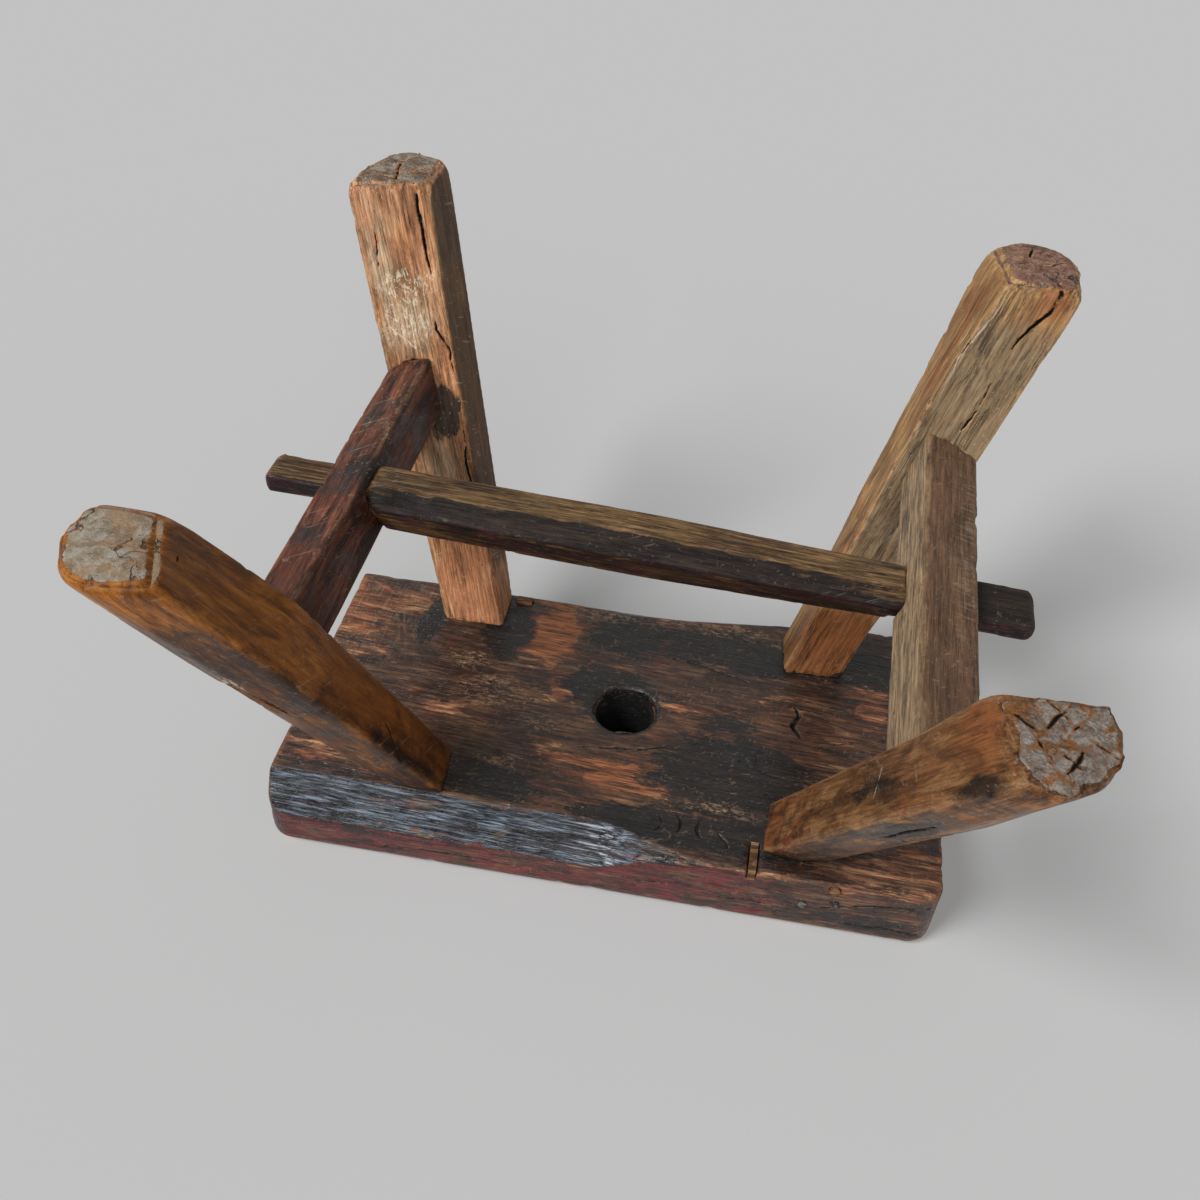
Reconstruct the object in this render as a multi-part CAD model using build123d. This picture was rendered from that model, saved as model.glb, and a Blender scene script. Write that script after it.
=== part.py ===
from build123d import *
from math import cos, radians, sin, tan
import os

# A hand-made wooden stool, feet on Z = 0 and the seat's length along X, in millimetres.
# Left and right are as seen from the front, which faces -Y. It is worked out about the seat's
# middle and then moved, so that the origin lies under the middle of the stool's footprint.

os.makedirs("parts", exist_ok=True)

# The whole stool
stool_height = 312.0
seat_length = 420.0
seat_depth = 226.0
seat_thickness = 48.0

# The seat plank: rounded corners, a finger hole, and a natural bevel (wane) on parts of its
# underside's long edges
seat_corner_radius = 14.0
seat_edge_radius = 6.0
hole_diameter = 40.0
hole_rim = 1.5
wane_setback = 19.0
wane_drop = 20.0
# Where each wane starts to run out and where it ends, along the seat from its middle
front_wane_shares = (0.0, -0.155)
back_wane_shares = (-0.05, -0.36)

# The legs, hewn from square stock, each a little different. A leg's level slices start at its
# inner corner, run along its inner side and return round its outer corner. They are given at the
# foot, the belly and the head, in shares of the slice's width and depth, counted outwards from
# the slice's middle.
leg_head_width = 43.0
leg_head_depth = 36.5
leg_foot_width = 56.0
leg_foot_depth = 60.0
leg_belly_height = 80.0
leg_end_inset = 67.0
shoulder_margin = 1.0
leg_arris_radius = 3.0
leg_round_radius = 8.0
foot_wear_height = 4.0
foot_wear_inset = 1.5
leg_sides = {
    "front_left": (-1, -1),
    "front_right": (1, -1),
    "back_left": (-1, 1),
    "back_right": (1, 1),
}
leg_lean_degrees = {
    "front_left": (15.2, 28.8),
    "front_right": (17.2, 23.8),
    "back_left": (19.9, 21.9),
    "back_right": (16.4, 25.6),
}
leg_foot_shares = {
    "front_left": ((-0.49, -0.40), (-0.32, 0.41), (0, 0.49), (0.33, 0.29), (0.49, -0.10), (0.46, -0.42)),
    "front_right": ((-0.17, -0.45), (-0.52, 0.40), (0, 0.50), (0.33, 0.39), (0.54, -0.05), (0.48, -0.45)),
    "back_left": ((-0.39, -0.45), (-0.54, 0.37), (-0.09, 0.56), (0.27, 0.52), (0.50, 0.13), (0.44, -0.56)),
    "back_right": ((-0.48, -0.34), (-0.48, 0.42), (-0.11, 0.52), (0.24, 0.40), (0.46, -0.18), (0.48, -0.54)),
}
leg_belly_shares = {
    "front_left": ((-0.40, -0.40), (-0.46, 0.49), (-0.02, 0.58), (0.30, 0.47), (0.49, 0), (0.49, -0.49)),
    "front_right": ((-0.47, -0.50), (-0.51, 0.40), (-0.04, 0.53), (0.28, 0.46), (0.49, 0), (0.49, -0.49)),
    "back_left": ((-0.52, -0.43), (-0.54, 0.40), (-0.09, 0.54), (0.28, 0.48), (0.50, 0.09), (0.43, -0.54)),
    "back_right": ((-0.46, -0.38), (-0.50, 0.44), (-0.11, 0.51), (0.26, 0.40), (0.48, -0.14), (0.48, -0.52)),
}
leg_head_shares = {
    "front_left": ((-0.47, -0.46), (-0.51, 0.62), (-0.04, 0.70), (0.38, 0.62), (0.52, 0.16), (0.50, -0.47)),
    "front_right": ((-0.45, -0.51), (-0.52, 0.50), (-0.08, 0.52), (0.35, 0.44), (0.50, 0), (0.49, -0.50)),
    "back_left": ((-0.48, -0.48), (-0.50, 0.50), (-0.10, 0.51), (0.30, 0.38), (0.50, -0.05), (0.50, -0.44)),
    "back_right": ((-0.55, -0.45), (-0.55, 0.50), (-0.10, 0.51), (0.28, 0.38), (0.46, -0.05), (0.43, -0.44)),
}

# The tenons through the seat and the wedges that spread them
head_tenon_width = 26.0
head_tenon_depth = 24.0
head_tenon_root = 6.0
wedge_top = 5.0
wedge_tip = 1.5
wedge_length = 28.0

# The side rails, which lean with the legs
side_rail_tall = 37.0
side_rail_wear = 2.0
side_rail_widths = {"left": 36.0, "right": 29.0}
# The height of each rail's axis and how far it lies outside its legs' axes, front then back
side_rail_heights = {"left": (121.0, 114.0), "right": (119.0, 117.5)}
side_rail_outsets = {"left": (9.0, 2.5), "right": (8.0, 6.0)}
shoulder_overlap = 6.0
rail_tenon_thickness = 13.0
rail_tenon_shoulder = 1.5

# The long rail: a hewn bar whose tenons pass through the side rails and stick out
long_rail_width = 39.0
long_rail_tall = 31.0
long_rail_skew = 4.2
# The bar's outline, from its front lower corner round to its front upper corner
long_rail_outline_shares = (
    (-0.12, -0.5),
    (0.36, -0.5),
    (0.5, -0.28),
    (0.38, 0.42),
    (0.28, 0.5),
    (-0.18, 0.5),
    (-0.28, 0.42),
    (-0.5, -0.26),
)
# The bar's width and height at its right end, middle and left end
long_rail_end_shares = ((1.0, 0.98), (1.0, 1.0), (0.97, 0.72))
# Its tenons and how far they reach past the side rails' middles
long_tenon_widths = {"left": 33.0, "right": 24.5}
long_tenon_thickness = 12.0
long_tenon_reaches = {"left": 60.0, "right": 53.0}
# How far the bar and its tenons lie above the side rails' axes, as shares of a side rail's height
long_rail_lift_shares = {"left": 0.216, "right": -0.02}
long_tenon_lift_shares = {"left": 0.14, "right": -0.2}
long_tenon_wear = 3.0
long_tenon_root = 12.0

# Small pieces set in the seat
shim_thickness = 4.5
shim_length = 21.0
shim_sink = 8.0
shim_proud = 1.5
shim_gap = 2.5
block_length = 11.0
block_width = 5.5
block_gap = 6.0
block_edge_margin = 2.0
peg_diameter = 6.0
peg_depth = 12.0
peg_proud = 1.0
peg_end_inset = 64.0
peg_height = 4.5
nail_head_diameter = 5.5
nail_head_thickness = 1.2
nail_proud = 0.5
nail_shank_diameter = 2.4
nail_length = 20.0
# The two nails, along the seat from its left end and up from its underside
nail_places = ((81.0, 23.5), (62.0, 18.0))

# Room in a joint, and how far a cutter runs past what it cuts
joint_clearance = 0.25
overrun = 5.0

# The seat's middle from the middle of the stool's footprint, as the legs splay unevenly
seat_offset_x = 6.0
seat_offset_y = 8.0

underside = stool_height - seat_thickness
seat_front = -seat_depth / 2
head_center_x = seat_length / 2 - leg_end_inset - leg_head_width / 2
head_center_y = seat_depth / 2 - wane_setback - shoulder_margin - leg_head_depth / 2


def tapered_block(lower, upper):
    """A block between two level rectangles, each given as x, y, z, width and depth."""
    slices = [Pos(x, y, z) * Rectangle(width, depth) for x, y, z, width, depth in (lower, upper)]
    return loft(slices, ruled=True)


def leg_center(name, height):
    """The leg's axis at a height, above the underside too, where its tenon runs on."""
    fall = underside - height
    side_x, side_y = leg_sides[name]
    lean_x, lean_y = leg_lean_degrees[name]
    x = side_x * (head_center_x + fall * tan(radians(lean_x)))
    y = side_y * (head_center_y + fall * tan(radians(lean_y)))
    return x, y


def leg_slice(name, height, shares, trim):
    """The leg's level outline at a height, from its shares, made smaller all round by trim."""
    side_x, side_y = leg_sides[name]
    drop = (underside - height) / underside
    width = leg_head_width + (leg_foot_width - leg_head_width) * drop - 2 * trim
    depth = leg_head_depth + (leg_foot_depth - leg_head_depth) * drop - 2 * trim
    points = [Vector(side_x * u * width, side_y * v * depth) for u, v in shares]
    outline = make_face(Polyline(*points, close=True))
    for index, point in enumerate(points):
        corner = sorted(outline.vertices(), key=lambda vertex: (Vector(vertex) - point).length)[0]
        worn = index in (2, 3, 4)
        outline = fillet(corner, leg_round_radius if worn else leg_arris_radius)
    x, y = leg_center(name, height)
    return Pos(x, y, height) * outline


def leg_blank(name):
    """The leg below the seat, before any joint is cut, with the worn edge of its foot."""
    foot = leg_foot_shares[name]
    belly = leg_belly_shares[name]
    wear = foot_wear_height / leg_belly_height
    worn = [(a + (c - a) * wear, b + (d - b) * wear) for (a, b), (c, d) in zip(foot, belly)]
    slices = [
        leg_slice(name, 0, foot, foot_wear_inset),
        leg_slice(name, foot_wear_height, worn, 0),
        leg_slice(name, leg_belly_height, belly, 0),
        leg_slice(name, underside, leg_head_shares[name], 0),
    ]
    return loft(slices, ruled=True)


def head_tenon(name, bottom, top, grow):
    """The leg's tenon through the seat, which follows the leg's axis."""
    width = head_tenon_width + 2 * grow
    depth = head_tenon_depth + 2 * grow
    return tapered_block(
        (*leg_center(name, bottom), bottom, width, depth),
        (*leg_center(name, top), top, width, depth),
    )


def head_wedge(name, bottom, top, grow, depth):
    """The wedge along the tenon's axis, thicker towards the seat's top."""
    tip = stool_height - wedge_length
    growth = (wedge_top - wedge_tip) / wedge_length
    ends = []
    for z in (bottom, top):
        thickness = wedge_tip + growth * (z - tip) + 2 * grow
        ends.append((*leg_center(name, z), z, thickness, depth))
    return tapered_block(*ends)


def rail_frame(side):
    """The side rail's middle plane, its normal along the rail, and the rail's length."""
    ends = []
    lean = 0
    for end, height, outset in zip(("front", "back"), side_rail_heights[side], side_rail_outsets[side]):
        name = f"{end}_{side}"
        side_x = leg_sides[name][0]
        x, y = leg_center(name, height)
        ends.append(Vector(x + side_x * outset, y, height))
        lean += radians(leg_lean_degrees[name][0]) / 2
    run = ends[1] - ends[0]
    along = run.normalized()
    across = Vector(cos(lean), 0, side_x * sin(lean))
    across = (across - along * across.dot(along)).normalized()
    middle = (ends[0] + ends[1]) * 0.5
    return Plane(origin=middle, x_dir=across, z_dir=along), run.length


def rail_reach(side):
    """A length that takes a side rail's tenons right through both legs."""
    _, length = rail_frame(side)
    return length + 2 * (leg_foot_depth + leg_foot_width)


def side_rail_bar(side, length):
    """The side rail's plain bar with worn arrises."""
    plane, _ = rail_frame(side)
    outline = Rectangle(side_rail_widths[side], side_rail_tall)
    outline = chamfer(outline.vertices(), side_rail_wear)
    return extrude(plane * outline, amount=length / 2, both=True)


def side_rail_slab(side):
    """A slab as wide as the side rail and far taller, which the long rail's shoulders meet."""
    plane, length = rail_frame(side)
    outline = Rectangle(side_rail_widths[side], 2 * side_rail_tall)
    return extrude(plane * outline, amount=length / 2, both=True)


def side_rail_tenons(side, length, grow):
    """The bar of the side rail's tenons, at both ends in one."""
    plane, _ = rail_frame(side)
    tall = side_rail_tall - 2 * rail_tenon_shoulder
    outline = Rectangle(rail_tenon_thickness + 2 * grow, tall + 2 * grow)
    return extrude(plane * outline, amount=length / 2, both=True)


def long_rail_point(side):
    """The middle of the long rail where it meets a side rail's middle plane."""
    plane, _ = rail_frame(side)
    y = long_rail_skew if side == "right" else -long_rail_skew
    lift = long_rail_lift_shares[side] * side_rail_tall
    slant = lift * plane.x_dir.Z / plane.x_dir.X
    drift = (y - plane.origin.Y) * plane.z_dir.X / plane.z_dir.Y
    return Vector(plane.origin.X - slant + drift, y, plane.origin.Z + lift)


def long_rail_bar():
    """The long rail between the middles of the side rails, slightly slimmer at its left end."""
    right = long_rail_point("right")
    left = long_rail_point("left")
    slices = []
    for end, middle in zip(long_rail_end_shares, (right, (right + left) * 0.5, left)):
        width = long_rail_width * end[0]
        tall = long_rail_tall * end[1]
        points = [(y * width, z * tall) for y, z in long_rail_outline_shares]
        plane = Plane(origin=middle, x_dir=(0, 1, 0), z_dir=(1, 0, 0))
        slices.append(plane * make_face(Polyline(*points, close=True)))
    return loft(slices, ruled=True)


def long_rail_tenon(side, grow, extra):
    """One tenon of the long rail, from its root in the bar to its worn free end."""
    right = long_rail_point("right")
    left = long_rail_point("left")
    along = (right - left).normalized()
    middle = right
    if side == "left":
        along = along * -1
        middle = left
    lift = (long_tenon_lift_shares[side] - long_rail_lift_shares[side]) * side_rail_tall
    root = side_rail_widths[side] / 2 + long_tenon_root
    start = middle - along * root + Vector(0, 0, lift)
    outline = Rectangle(long_tenon_widths[side] + 2 * grow, long_tenon_thickness + 2 * grow)
    bar_plane = Plane(origin=start, x_dir=(0, 1, 0), z_dir=along)
    bar = extrude(bar_plane * outline, amount=root + long_tenon_reaches[side] + extra)
    if extra:
        return bar
    free_end = bar.faces().sort_by(Axis(start, along))[-1]
    return chamfer(free_end.edges(), long_tenon_wear)


def middle_solid(shape):
    """The solid of a cut shape that lies nearest the middle of the stool's depth."""
    return sorted(shape.solids(), key=lambda solid: abs(solid.center().Y))[0]


def wane_slice(side_y, x, share):
    """The triangle that a wane takes off the underside's edge, at a share of its full size."""
    run = Vector(wane_setback, wane_drop).normalized() * overrun
    edge = seat_depth / 2
    inner = (side_y * (edge - share * wane_setback - run.X), underside - run.Y)
    outer = (side_y * (edge + run.X), underside + share * wane_drop + run.Y)
    corner = (outer[0], inner[1])
    plane = Plane(origin=(x, 0, 0), x_dir=(0, 1, 0), z_dir=(1, 0, 0))
    return plane * make_face(Polyline(inner, outer, corner, close=True))


def wane(side_y, shares):
    """The wane's cutter: full from the seat's right end, then running out to nothing."""
    start = seat_length / 2 + overrun
    fade = shares[0] * seat_length
    end = shares[1] * seat_length
    full_part = loft([wane_slice(side_y, start, 1), wane_slice(side_y, fade, 1)], ruled=True)
    return full_part + loft([wane_slice(side_y, fade, 1), wane_slice(side_y, end, 0)], ruled=True)


def inlay(x, y, length, depth, grow):
    """A block let into the underside, a little proud of it."""
    height = shim_sink + shim_proud + grow
    middle = underside - shim_proud + height / 2
    return Pos(x, y, middle) * Box(length + 2 * grow, depth + 2 * grow, height)


def front_shim(grow):
    """The slip beside the front left leg, which runs to the front edge."""
    x = -(head_center_x - leg_head_width / 2 - shim_gap - shim_thickness / 2)
    y = seat_front + joint_clearance + shim_length / 2
    return inlay(x, y, shim_thickness, shim_length, grow)


def back_block(grow):
    """The small block beside the back right leg, just inside the wane."""
    x = head_center_x - leg_head_width / 2 - block_gap - block_length / 2
    y = seat_depth / 2 - wane_setback - block_edge_margin - block_width / 2
    return inlay(x, y, block_length, block_width, grow)


def edge_round(x, z, radius, outer, depth):
    """A round bar along Y in the seat's front edge, from outer in front of it to depth behind."""
    length = outer + depth
    return Pos(x, seat_front - outer + length / 2, z) * Rot(90, 0, 0) * Cylinder(radius, length)


def edge_peg(grow, outer):
    """The small peg in the front edge, just above the underside."""
    x = -(seat_length / 2 - peg_end_inset)
    z = underside + peg_height
    return edge_round(x, z, peg_diameter / 2 + grow, outer, peg_depth + grow)


def edge_nail(place, grow, outer):
    """One nail in the front edge: a flat head and a round shank."""
    x = place[0] - seat_length / 2
    z = underside + place[1]
    head_depth = nail_head_thickness - nail_proud
    head = edge_round(x, z, nail_head_diameter / 2 + grow, outer, head_depth + grow)
    shank = edge_round(x, z, nail_shank_diameter / 2 + grow, 0, nail_length + grow)
    return head + shank


def make_seat():
    """The plank with its hole, wanes, mortises and the pockets of the small pieces."""
    plank = extrude(RectangleRounded(seat_length, seat_depth, seat_corner_radius), seat_thickness)
    plank = Pos(0, 0, underside) * plank
    top_edges = plank.faces().sort_by(Axis.Z)[-1].edges()
    plank = fillet(top_edges, seat_edge_radius)
    hole = Cylinder(hole_diameter / 2, seat_thickness + 2 * overrun)
    plank -= Pos(0, 0, underside + seat_thickness / 2) * hole
    for end in (0, -1):
        face = plank.faces().filter_by(Axis.Z).sort_by(Axis.Z)[end]
        rim = [edge for edge in face.edges() if edge.is_closed]
        plank = chamfer(rim, hole_rim)
    plank -= wane(-1, front_wane_shares)
    plank -= wane(1, back_wane_shares)
    for name in leg_sides:
        plank -= head_tenon(name, underside - overrun, stool_height + overrun, joint_clearance)
    plank -= front_shim(joint_clearance)
    plank -= back_block(joint_clearance)
    plank -= edge_peg(joint_clearance, overrun)
    for place in nail_places:
        plank -= edge_nail(place, joint_clearance, overrun)
    return plank


def make_leg(name):
    """One leg with its tenon, the kerf for the wedge and the mortise for the side rail."""
    leg = leg_blank(name)
    leg += head_tenon(name, underside - head_tenon_root, stool_height, 0)
    kerf_bottom = stool_height - wedge_length - joint_clearance
    kerf_depth = head_tenon_depth + 2 * overrun
    leg -= head_wedge(name, kerf_bottom, stool_height + overrun, joint_clearance, kerf_depth)
    side = name.split("_")[1]
    return leg - side_rail_tenons(side, rail_reach(side), joint_clearance)


def make_side_rail(side):
    """One side rail, shouldered against both legs and tenoned flush through them."""
    _, length = rail_frame(side)
    bar = side_rail_bar(side, length)
    rail = side_rail_tenons(side, length, 0)
    for end in ("front", "back"):
        side_x, side_y = leg_sides[f"{end}_{side}"]
        blank = leg_blank(f"{end}_{side}")
        for overlap in (0, side_x * shoulder_overlap):
            bar -= Pos(overlap, -side_y * joint_clearance, 0) * blank
        rail += side_rail_tenons(side, rail_reach(side), 0) & blank
    rail += middle_solid(bar)
    return rail - long_rail_tenon(side, joint_clearance, overrun)


def make_long_rail():
    """The long rail, shouldered against the side rails, with its two through tenons."""
    bar = long_rail_bar()
    for side, side_x in (("left", -1), ("right", 1)):
        bar -= Pos(-side_x * joint_clearance, 0, 0) * side_rail_slab(side)
    rail = sorted(bar.solids(), key=lambda solid: abs(solid.center().X))[0]
    for side in ("left", "right"):
        rail = rail + long_rail_tenon(side, 0, 0)
    return rail


def write(shape, name):
    """Moves one piece from the seat's middle to the stool's frame and writes it."""
    export_step(Pos(seat_offset_x, seat_offset_y, 0) * shape, f"parts/{name}.step")


write(make_seat(), "seat")
for leg_name in leg_sides:
    write(make_leg(leg_name), f"leg_{leg_name}")
    wedge_bottom = stool_height - wedge_length
    write(head_wedge(leg_name, wedge_bottom, stool_height, 0, head_tenon_depth), f"wedge_{leg_name}")
for rail_side in ("left", "right"):
    write(make_side_rail(rail_side), f"side_rail_{rail_side}")
write(make_long_rail(), "long_rail")
write(front_shim(0), "shim_front_left")
write(back_block(0), "shim_back_right")
write(edge_peg(0, peg_proud), "edge_peg")
write(Compound([edge_nail(place, 0, nail_proud).solid() for place in nail_places]), "edge_nails")
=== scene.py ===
"""A worn, hand-made wooden stool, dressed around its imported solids. Lengths are in millimetres."""
import logging
import math
from dataclasses import dataclass, field, replace
from enum import Enum

import bmesh
import bpy
import numpy as np
from mathutils import Matrix, Vector


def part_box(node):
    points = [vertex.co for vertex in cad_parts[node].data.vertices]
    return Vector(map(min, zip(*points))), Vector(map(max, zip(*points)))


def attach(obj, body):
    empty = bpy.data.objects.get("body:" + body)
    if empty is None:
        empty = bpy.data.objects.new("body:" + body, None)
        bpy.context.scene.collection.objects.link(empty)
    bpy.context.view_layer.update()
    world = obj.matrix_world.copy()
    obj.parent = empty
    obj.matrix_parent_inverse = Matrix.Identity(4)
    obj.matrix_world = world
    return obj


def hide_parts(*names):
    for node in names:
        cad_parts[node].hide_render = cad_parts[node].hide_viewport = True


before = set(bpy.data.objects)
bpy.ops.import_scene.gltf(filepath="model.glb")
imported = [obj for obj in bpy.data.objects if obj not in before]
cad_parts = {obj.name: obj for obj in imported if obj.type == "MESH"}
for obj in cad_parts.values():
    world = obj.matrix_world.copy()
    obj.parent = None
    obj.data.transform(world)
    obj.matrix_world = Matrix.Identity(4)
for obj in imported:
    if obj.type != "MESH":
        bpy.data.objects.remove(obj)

LOG = logging.getLogger("stool")
BODY = "root"
MM = 0.001
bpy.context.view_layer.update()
STOOL_TOP = 312.0
UNDERSIDE = 264.0
HOLE = (6.0, 8.0)
# Black for cracks and for the painted shade on the finger hole's wall.
SPLIT_AND_SHADE_BLACK = "0b0908"
DARK = (0.02, 0.02, 0.02)
# Near black for the painted shadow on the floor under the finger hole.
HOLE_SHADOW_BLACK = (0.01, 0.01, 0.01)
SCRATCH_DEPTH = 0.5    # a shallower crack is a scratch
SHARP = 0.16           # how far a sharp arris stands out from its neighbours
ROUNDED = 0.8          # how much of that is taken off
STRAY = 2.6            # how far a crack strays from its line
FADE = 15.0            # how far a facing's limits reach up and down
BUMP_STRENGTH = 0.85

Spot = tuple[float, float, float]


def tint(code: str) -> Spot:
    """Turns a colour's usual six-letter code into linear light.

    Args:
        code: Two hexadecimal letters each for red, green and blue.

    Returns:
        The three linear values.
    """
    parts = [int(code[place:place + 2], 16) / 255 for place in (0, 2, 4)]
    return tuple(p / 12.92 if p <= 0.04045 else ((p + 0.055) / 1.055) ** 2.4 for p in parts)


# ---- Noise and surfaces in code ----


def lattice(spots: np.ndarray, size: float | Spot, seed: int) -> np.ndarray:
    """Gives smooth noise between 0 and 1.

    Args:
        spots: Points.
        size: The size of the noise's cells, one for all directions or one for each.
        seed: Chooses the pattern.

    Returns:
        One value for each point.
    """
    place = spots / np.asarray(size, dtype=float) + seed * 17.31
    cell = np.floor(place).astype(np.int64)
    part = place - cell
    part = part * part * (3 - 2 * part)
    total = np.zeros(len(spots))
    for corner in np.ndindex(2, 2, 2):
        step = np.array(corner)
        key = (cell + step) @ np.array([374761393, 668265263, 2147483647]) + seed * 144665
        key = (key ^ (key >> 13)) * 1274126177
        value = ((key ^ (key >> 16)) & 0xFFFFFF) / 0xFFFFFF
        total += value * np.prod(np.where(step, part, 1 - part), axis=1)
    return total


def layered(spots: np.ndarray, size: float | Spot, seed: int, layers: int = 3) -> np.ndarray:
    """Adds up noise of ever finer cells, between 0 and 1.

    Args:
        spots: Points.
        size: The size of the coarsest cells.
        seed: Chooses the pattern.
        layers: How many sizes of cells are added, each half the one before.

    Returns:
        One value for each point.
    """
    size = np.asarray(size, dtype=float)
    total, weight = np.zeros(len(spots)), 0.0
    for layer in range(layers):
        total += lattice(spots, size / 2 ** layer, seed + layer) / 2 ** layer
        weight += 1 / 2 ** layer
    return total / weight


def ease(values: np.ndarray, low: float, high: float) -> np.ndarray:
    """Rises smoothly from 0 at low to 1 at high."""
    share = np.clip((values - low) / (high - low), 0, 1)
    return share * share * (3 - 2 * share)


def line_distance(spots: np.ndarray, line: tuple[Spot, ...]) -> tuple[np.ndarray, np.ndarray]:
    """Measures how far points are from a line of straight runs.

    Args:
        spots: Points.
        line: The line's points.

    Returns:
        The distance of each point, and how far along the line its nearest place is, from 0 to 1.
    """
    nearest = np.full(len(spots), 1e9)
    along = np.zeros(len(spots))
    runs = len(line) - 1
    for index in range(runs):
        start, end = np.array(line[index], float), np.array(line[index + 1], float)
        way = end - start
        share = np.clip((spots - start) @ way / (way @ way), 0, 1)
        distance = np.linalg.norm(spots - start - share[:, None] * way, axis=1)
        closer = distance < nearest
        nearest = np.where(closer, distance, nearest)
        along = np.where(closer, (index + share) / runs, along)
    return nearest, along


class Mask(Enum):
    """The effects that are painted on a piece as patches."""

    BARE = "bare"
    # Soot and dark dirt, and in places painted shade: the finger hole, the legs' heads, the rails'
    # joints and a rail's shadow on a leg.
    SOOT = "soot"
    RED = "red"
    PALE = "pale"
    SAW = "saw"
    AMBER = "amber"
    # The front bevel's painted sheen, with a painted highlight where it passes 1.
    SHEEN = "sheen"
    GREY = "grey"


@dataclass(frozen=True)
class Patch:
    """A soft patch of one effect, longer or shorter along the grain than across it."""

    mask: Mask
    middle: Spot
    long: float
    wide: float
    strength: float


@dataclass(frozen=True)
class Facing:
    """One effect on the faces that look one way, between two heights."""

    mask: Mask
    way: Spot
    strength: float
    low: float = -1.0
    high: float = 400.0


@dataclass(frozen=True)
class Crack:
    """A crack along a line, widest at its middle; a shallow one is a scratch in light wood."""

    width: float
    depth: float
    line: tuple[Spot, ...]


@dataclass(frozen=True)
class Knot:
    """A knot that the grain bends round."""

    middle: Spot
    radius: float = 7.0
    reach: float = 26.0


def patches(table: dict[Mask, tuple[tuple[float, ...], ...]]) -> tuple[Patch, ...]:
    """Makes patches from rows of X, Y, Z, length, width and strength."""
    return tuple(Patch(mask, row[:3], *row[3:]) for mask, rows in table.items() for row in rows)


def cracks(*rows: tuple) -> tuple[Crack, ...]:
    """Makes cracks from rows of width, depth and the line's points."""
    return tuple(Crack(width, depth, tuple(line)) for width, depth, *line in rows)


def arc(middle: Spot, radius: float, start: float, turn: float, squeeze: float) -> list[Spot]:
    """Gives points on a level arc.

    Args:
        middle: The arc's centre.
        radius: Its radius along X.
        start: Where it starts, in degrees from X.
        turn: How far it turns, in degrees.
        squeeze: Its size along Y as a share of that along X.

    Returns:
        Seven points.
    """
    x, y, z = middle
    turns = [math.radians(start + turn * step / 6) for step in range(7)]
    return [(x + radius * math.cos(a), y + squeeze * radius * math.sin(a), z) for a in turns]


@dataclass
class Surface:
    """A mesh's vertices as arrays."""

    mesh: bpy.types.Mesh
    spots: np.ndarray = field(init=False)
    normals: np.ndarray = field(init=False)
    pairs: np.ndarray = field(init=False)

    def __post_init__(self) -> None:
        """Reads the mesh."""
        flat = np.empty(len(self.mesh.vertices) * 3)
        self.mesh.vertices.foreach_get("co", flat)
        self.spots = flat.reshape(-1, 3) / MM
        ends = np.empty(len(self.mesh.edges) * 2, dtype=np.int32)
        self.mesh.edges.foreach_get("vertices", ends)
        self.pairs = ends.reshape(-1, 2)
        self.read_normals()

    def read_normals(self) -> None:
        """Reads the vertex normals again."""
        flat = np.empty(len(self.mesh.vertices) * 3, dtype=np.float32)
        self.mesh.vertex_normals.foreach_get("vector", flat)
        self.normals = flat.reshape(-1, 3).astype(float)

    def spread(self, values: np.ndarray, rounds: int) -> np.ndarray:
        """Evens values out between neighbours.

        Args:
            values: One value or vector for each vertex.
            rounds: How often each vertex takes its neighbours' mean.

        Returns:
            The evened values.
        """
        columns = values.reshape(len(values), -1).astype(float)
        count = len(columns)
        first, second = self.pairs.T
        links = np.bincount(self.pairs.ravel(), minlength=count)[:, None]
        for _ in range(rounds):
            total = np.empty_like(columns)
            for index in range(columns.shape[1]):
                column = columns[:, index]
                total[:, index] = (np.bincount(first, column[second], count)
                                   + np.bincount(second, column[first], count))
            columns = 0.5 * columns + 0.5 * total / np.maximum(links, 1)
        return columns.reshape(values.shape)

    def arrises(self, reach: int) -> np.ndarray:
        """Finds the outer edges, from 0 on a flat face to more on a sharp arris."""
        bent = ((self.spots - self.spread(self.spots, reach)) * self.normals).sum(axis=1)
        return np.clip(self.spread(bent, 1), 0, None)

    def press(self, amounts: np.ndarray) -> None:
        """Moves every vertex inwards by its amount."""
        self.spots -= self.normals * amounts[:, None]

    def write(self) -> None:
        """Puts the moved vertices back into the mesh."""
        self.mesh.vertices.foreach_set("co", (self.spots * MM).ravel())
        self.mesh.update()
        self.read_normals()

    def put(self, name: str, values: np.ndarray) -> None:
        """Stores values under a name that a material reads.

        Args:
            name: The name.
            values: One value or vector for each vertex.
        """
        if values.ndim == 1:
            made = self.mesh.attributes.new(name, "FLOAT", "POINT")
            made.data.foreach_set("value", np.clip(values, 0, 2).astype(np.float32))
        else:
            made = self.mesh.attributes.new(name, "FLOAT_VECTOR", "POINT")
            made.data.foreach_set("vector", values.astype(np.float32).ravel())


# ---- Shader effects ----


class Effect(Enum):
    """The effects that finishes share: each one's method, its inputs after Place, its outputs."""

    GRAIN = ("old_grain", ("Ring Width", "Wander"),
             ("Tone", "Band", "Fibre", "Pores", "Lines", "Height"))
    RAGGED = ("ragged_patch", ("Soft", "Break", "Edge"), ("Mask",))
    SCUFFS = ("scuffs", ("Amount",), ("Mask",))
    SPECKS = ("specks", ("Amount",), ("Mask",))
    END = ("end_grain", (), ("Mottle", "Rust", "Crack", "Height"))
    SAW = ("saw_marks", ("Soft",), ("Mask",))


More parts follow.
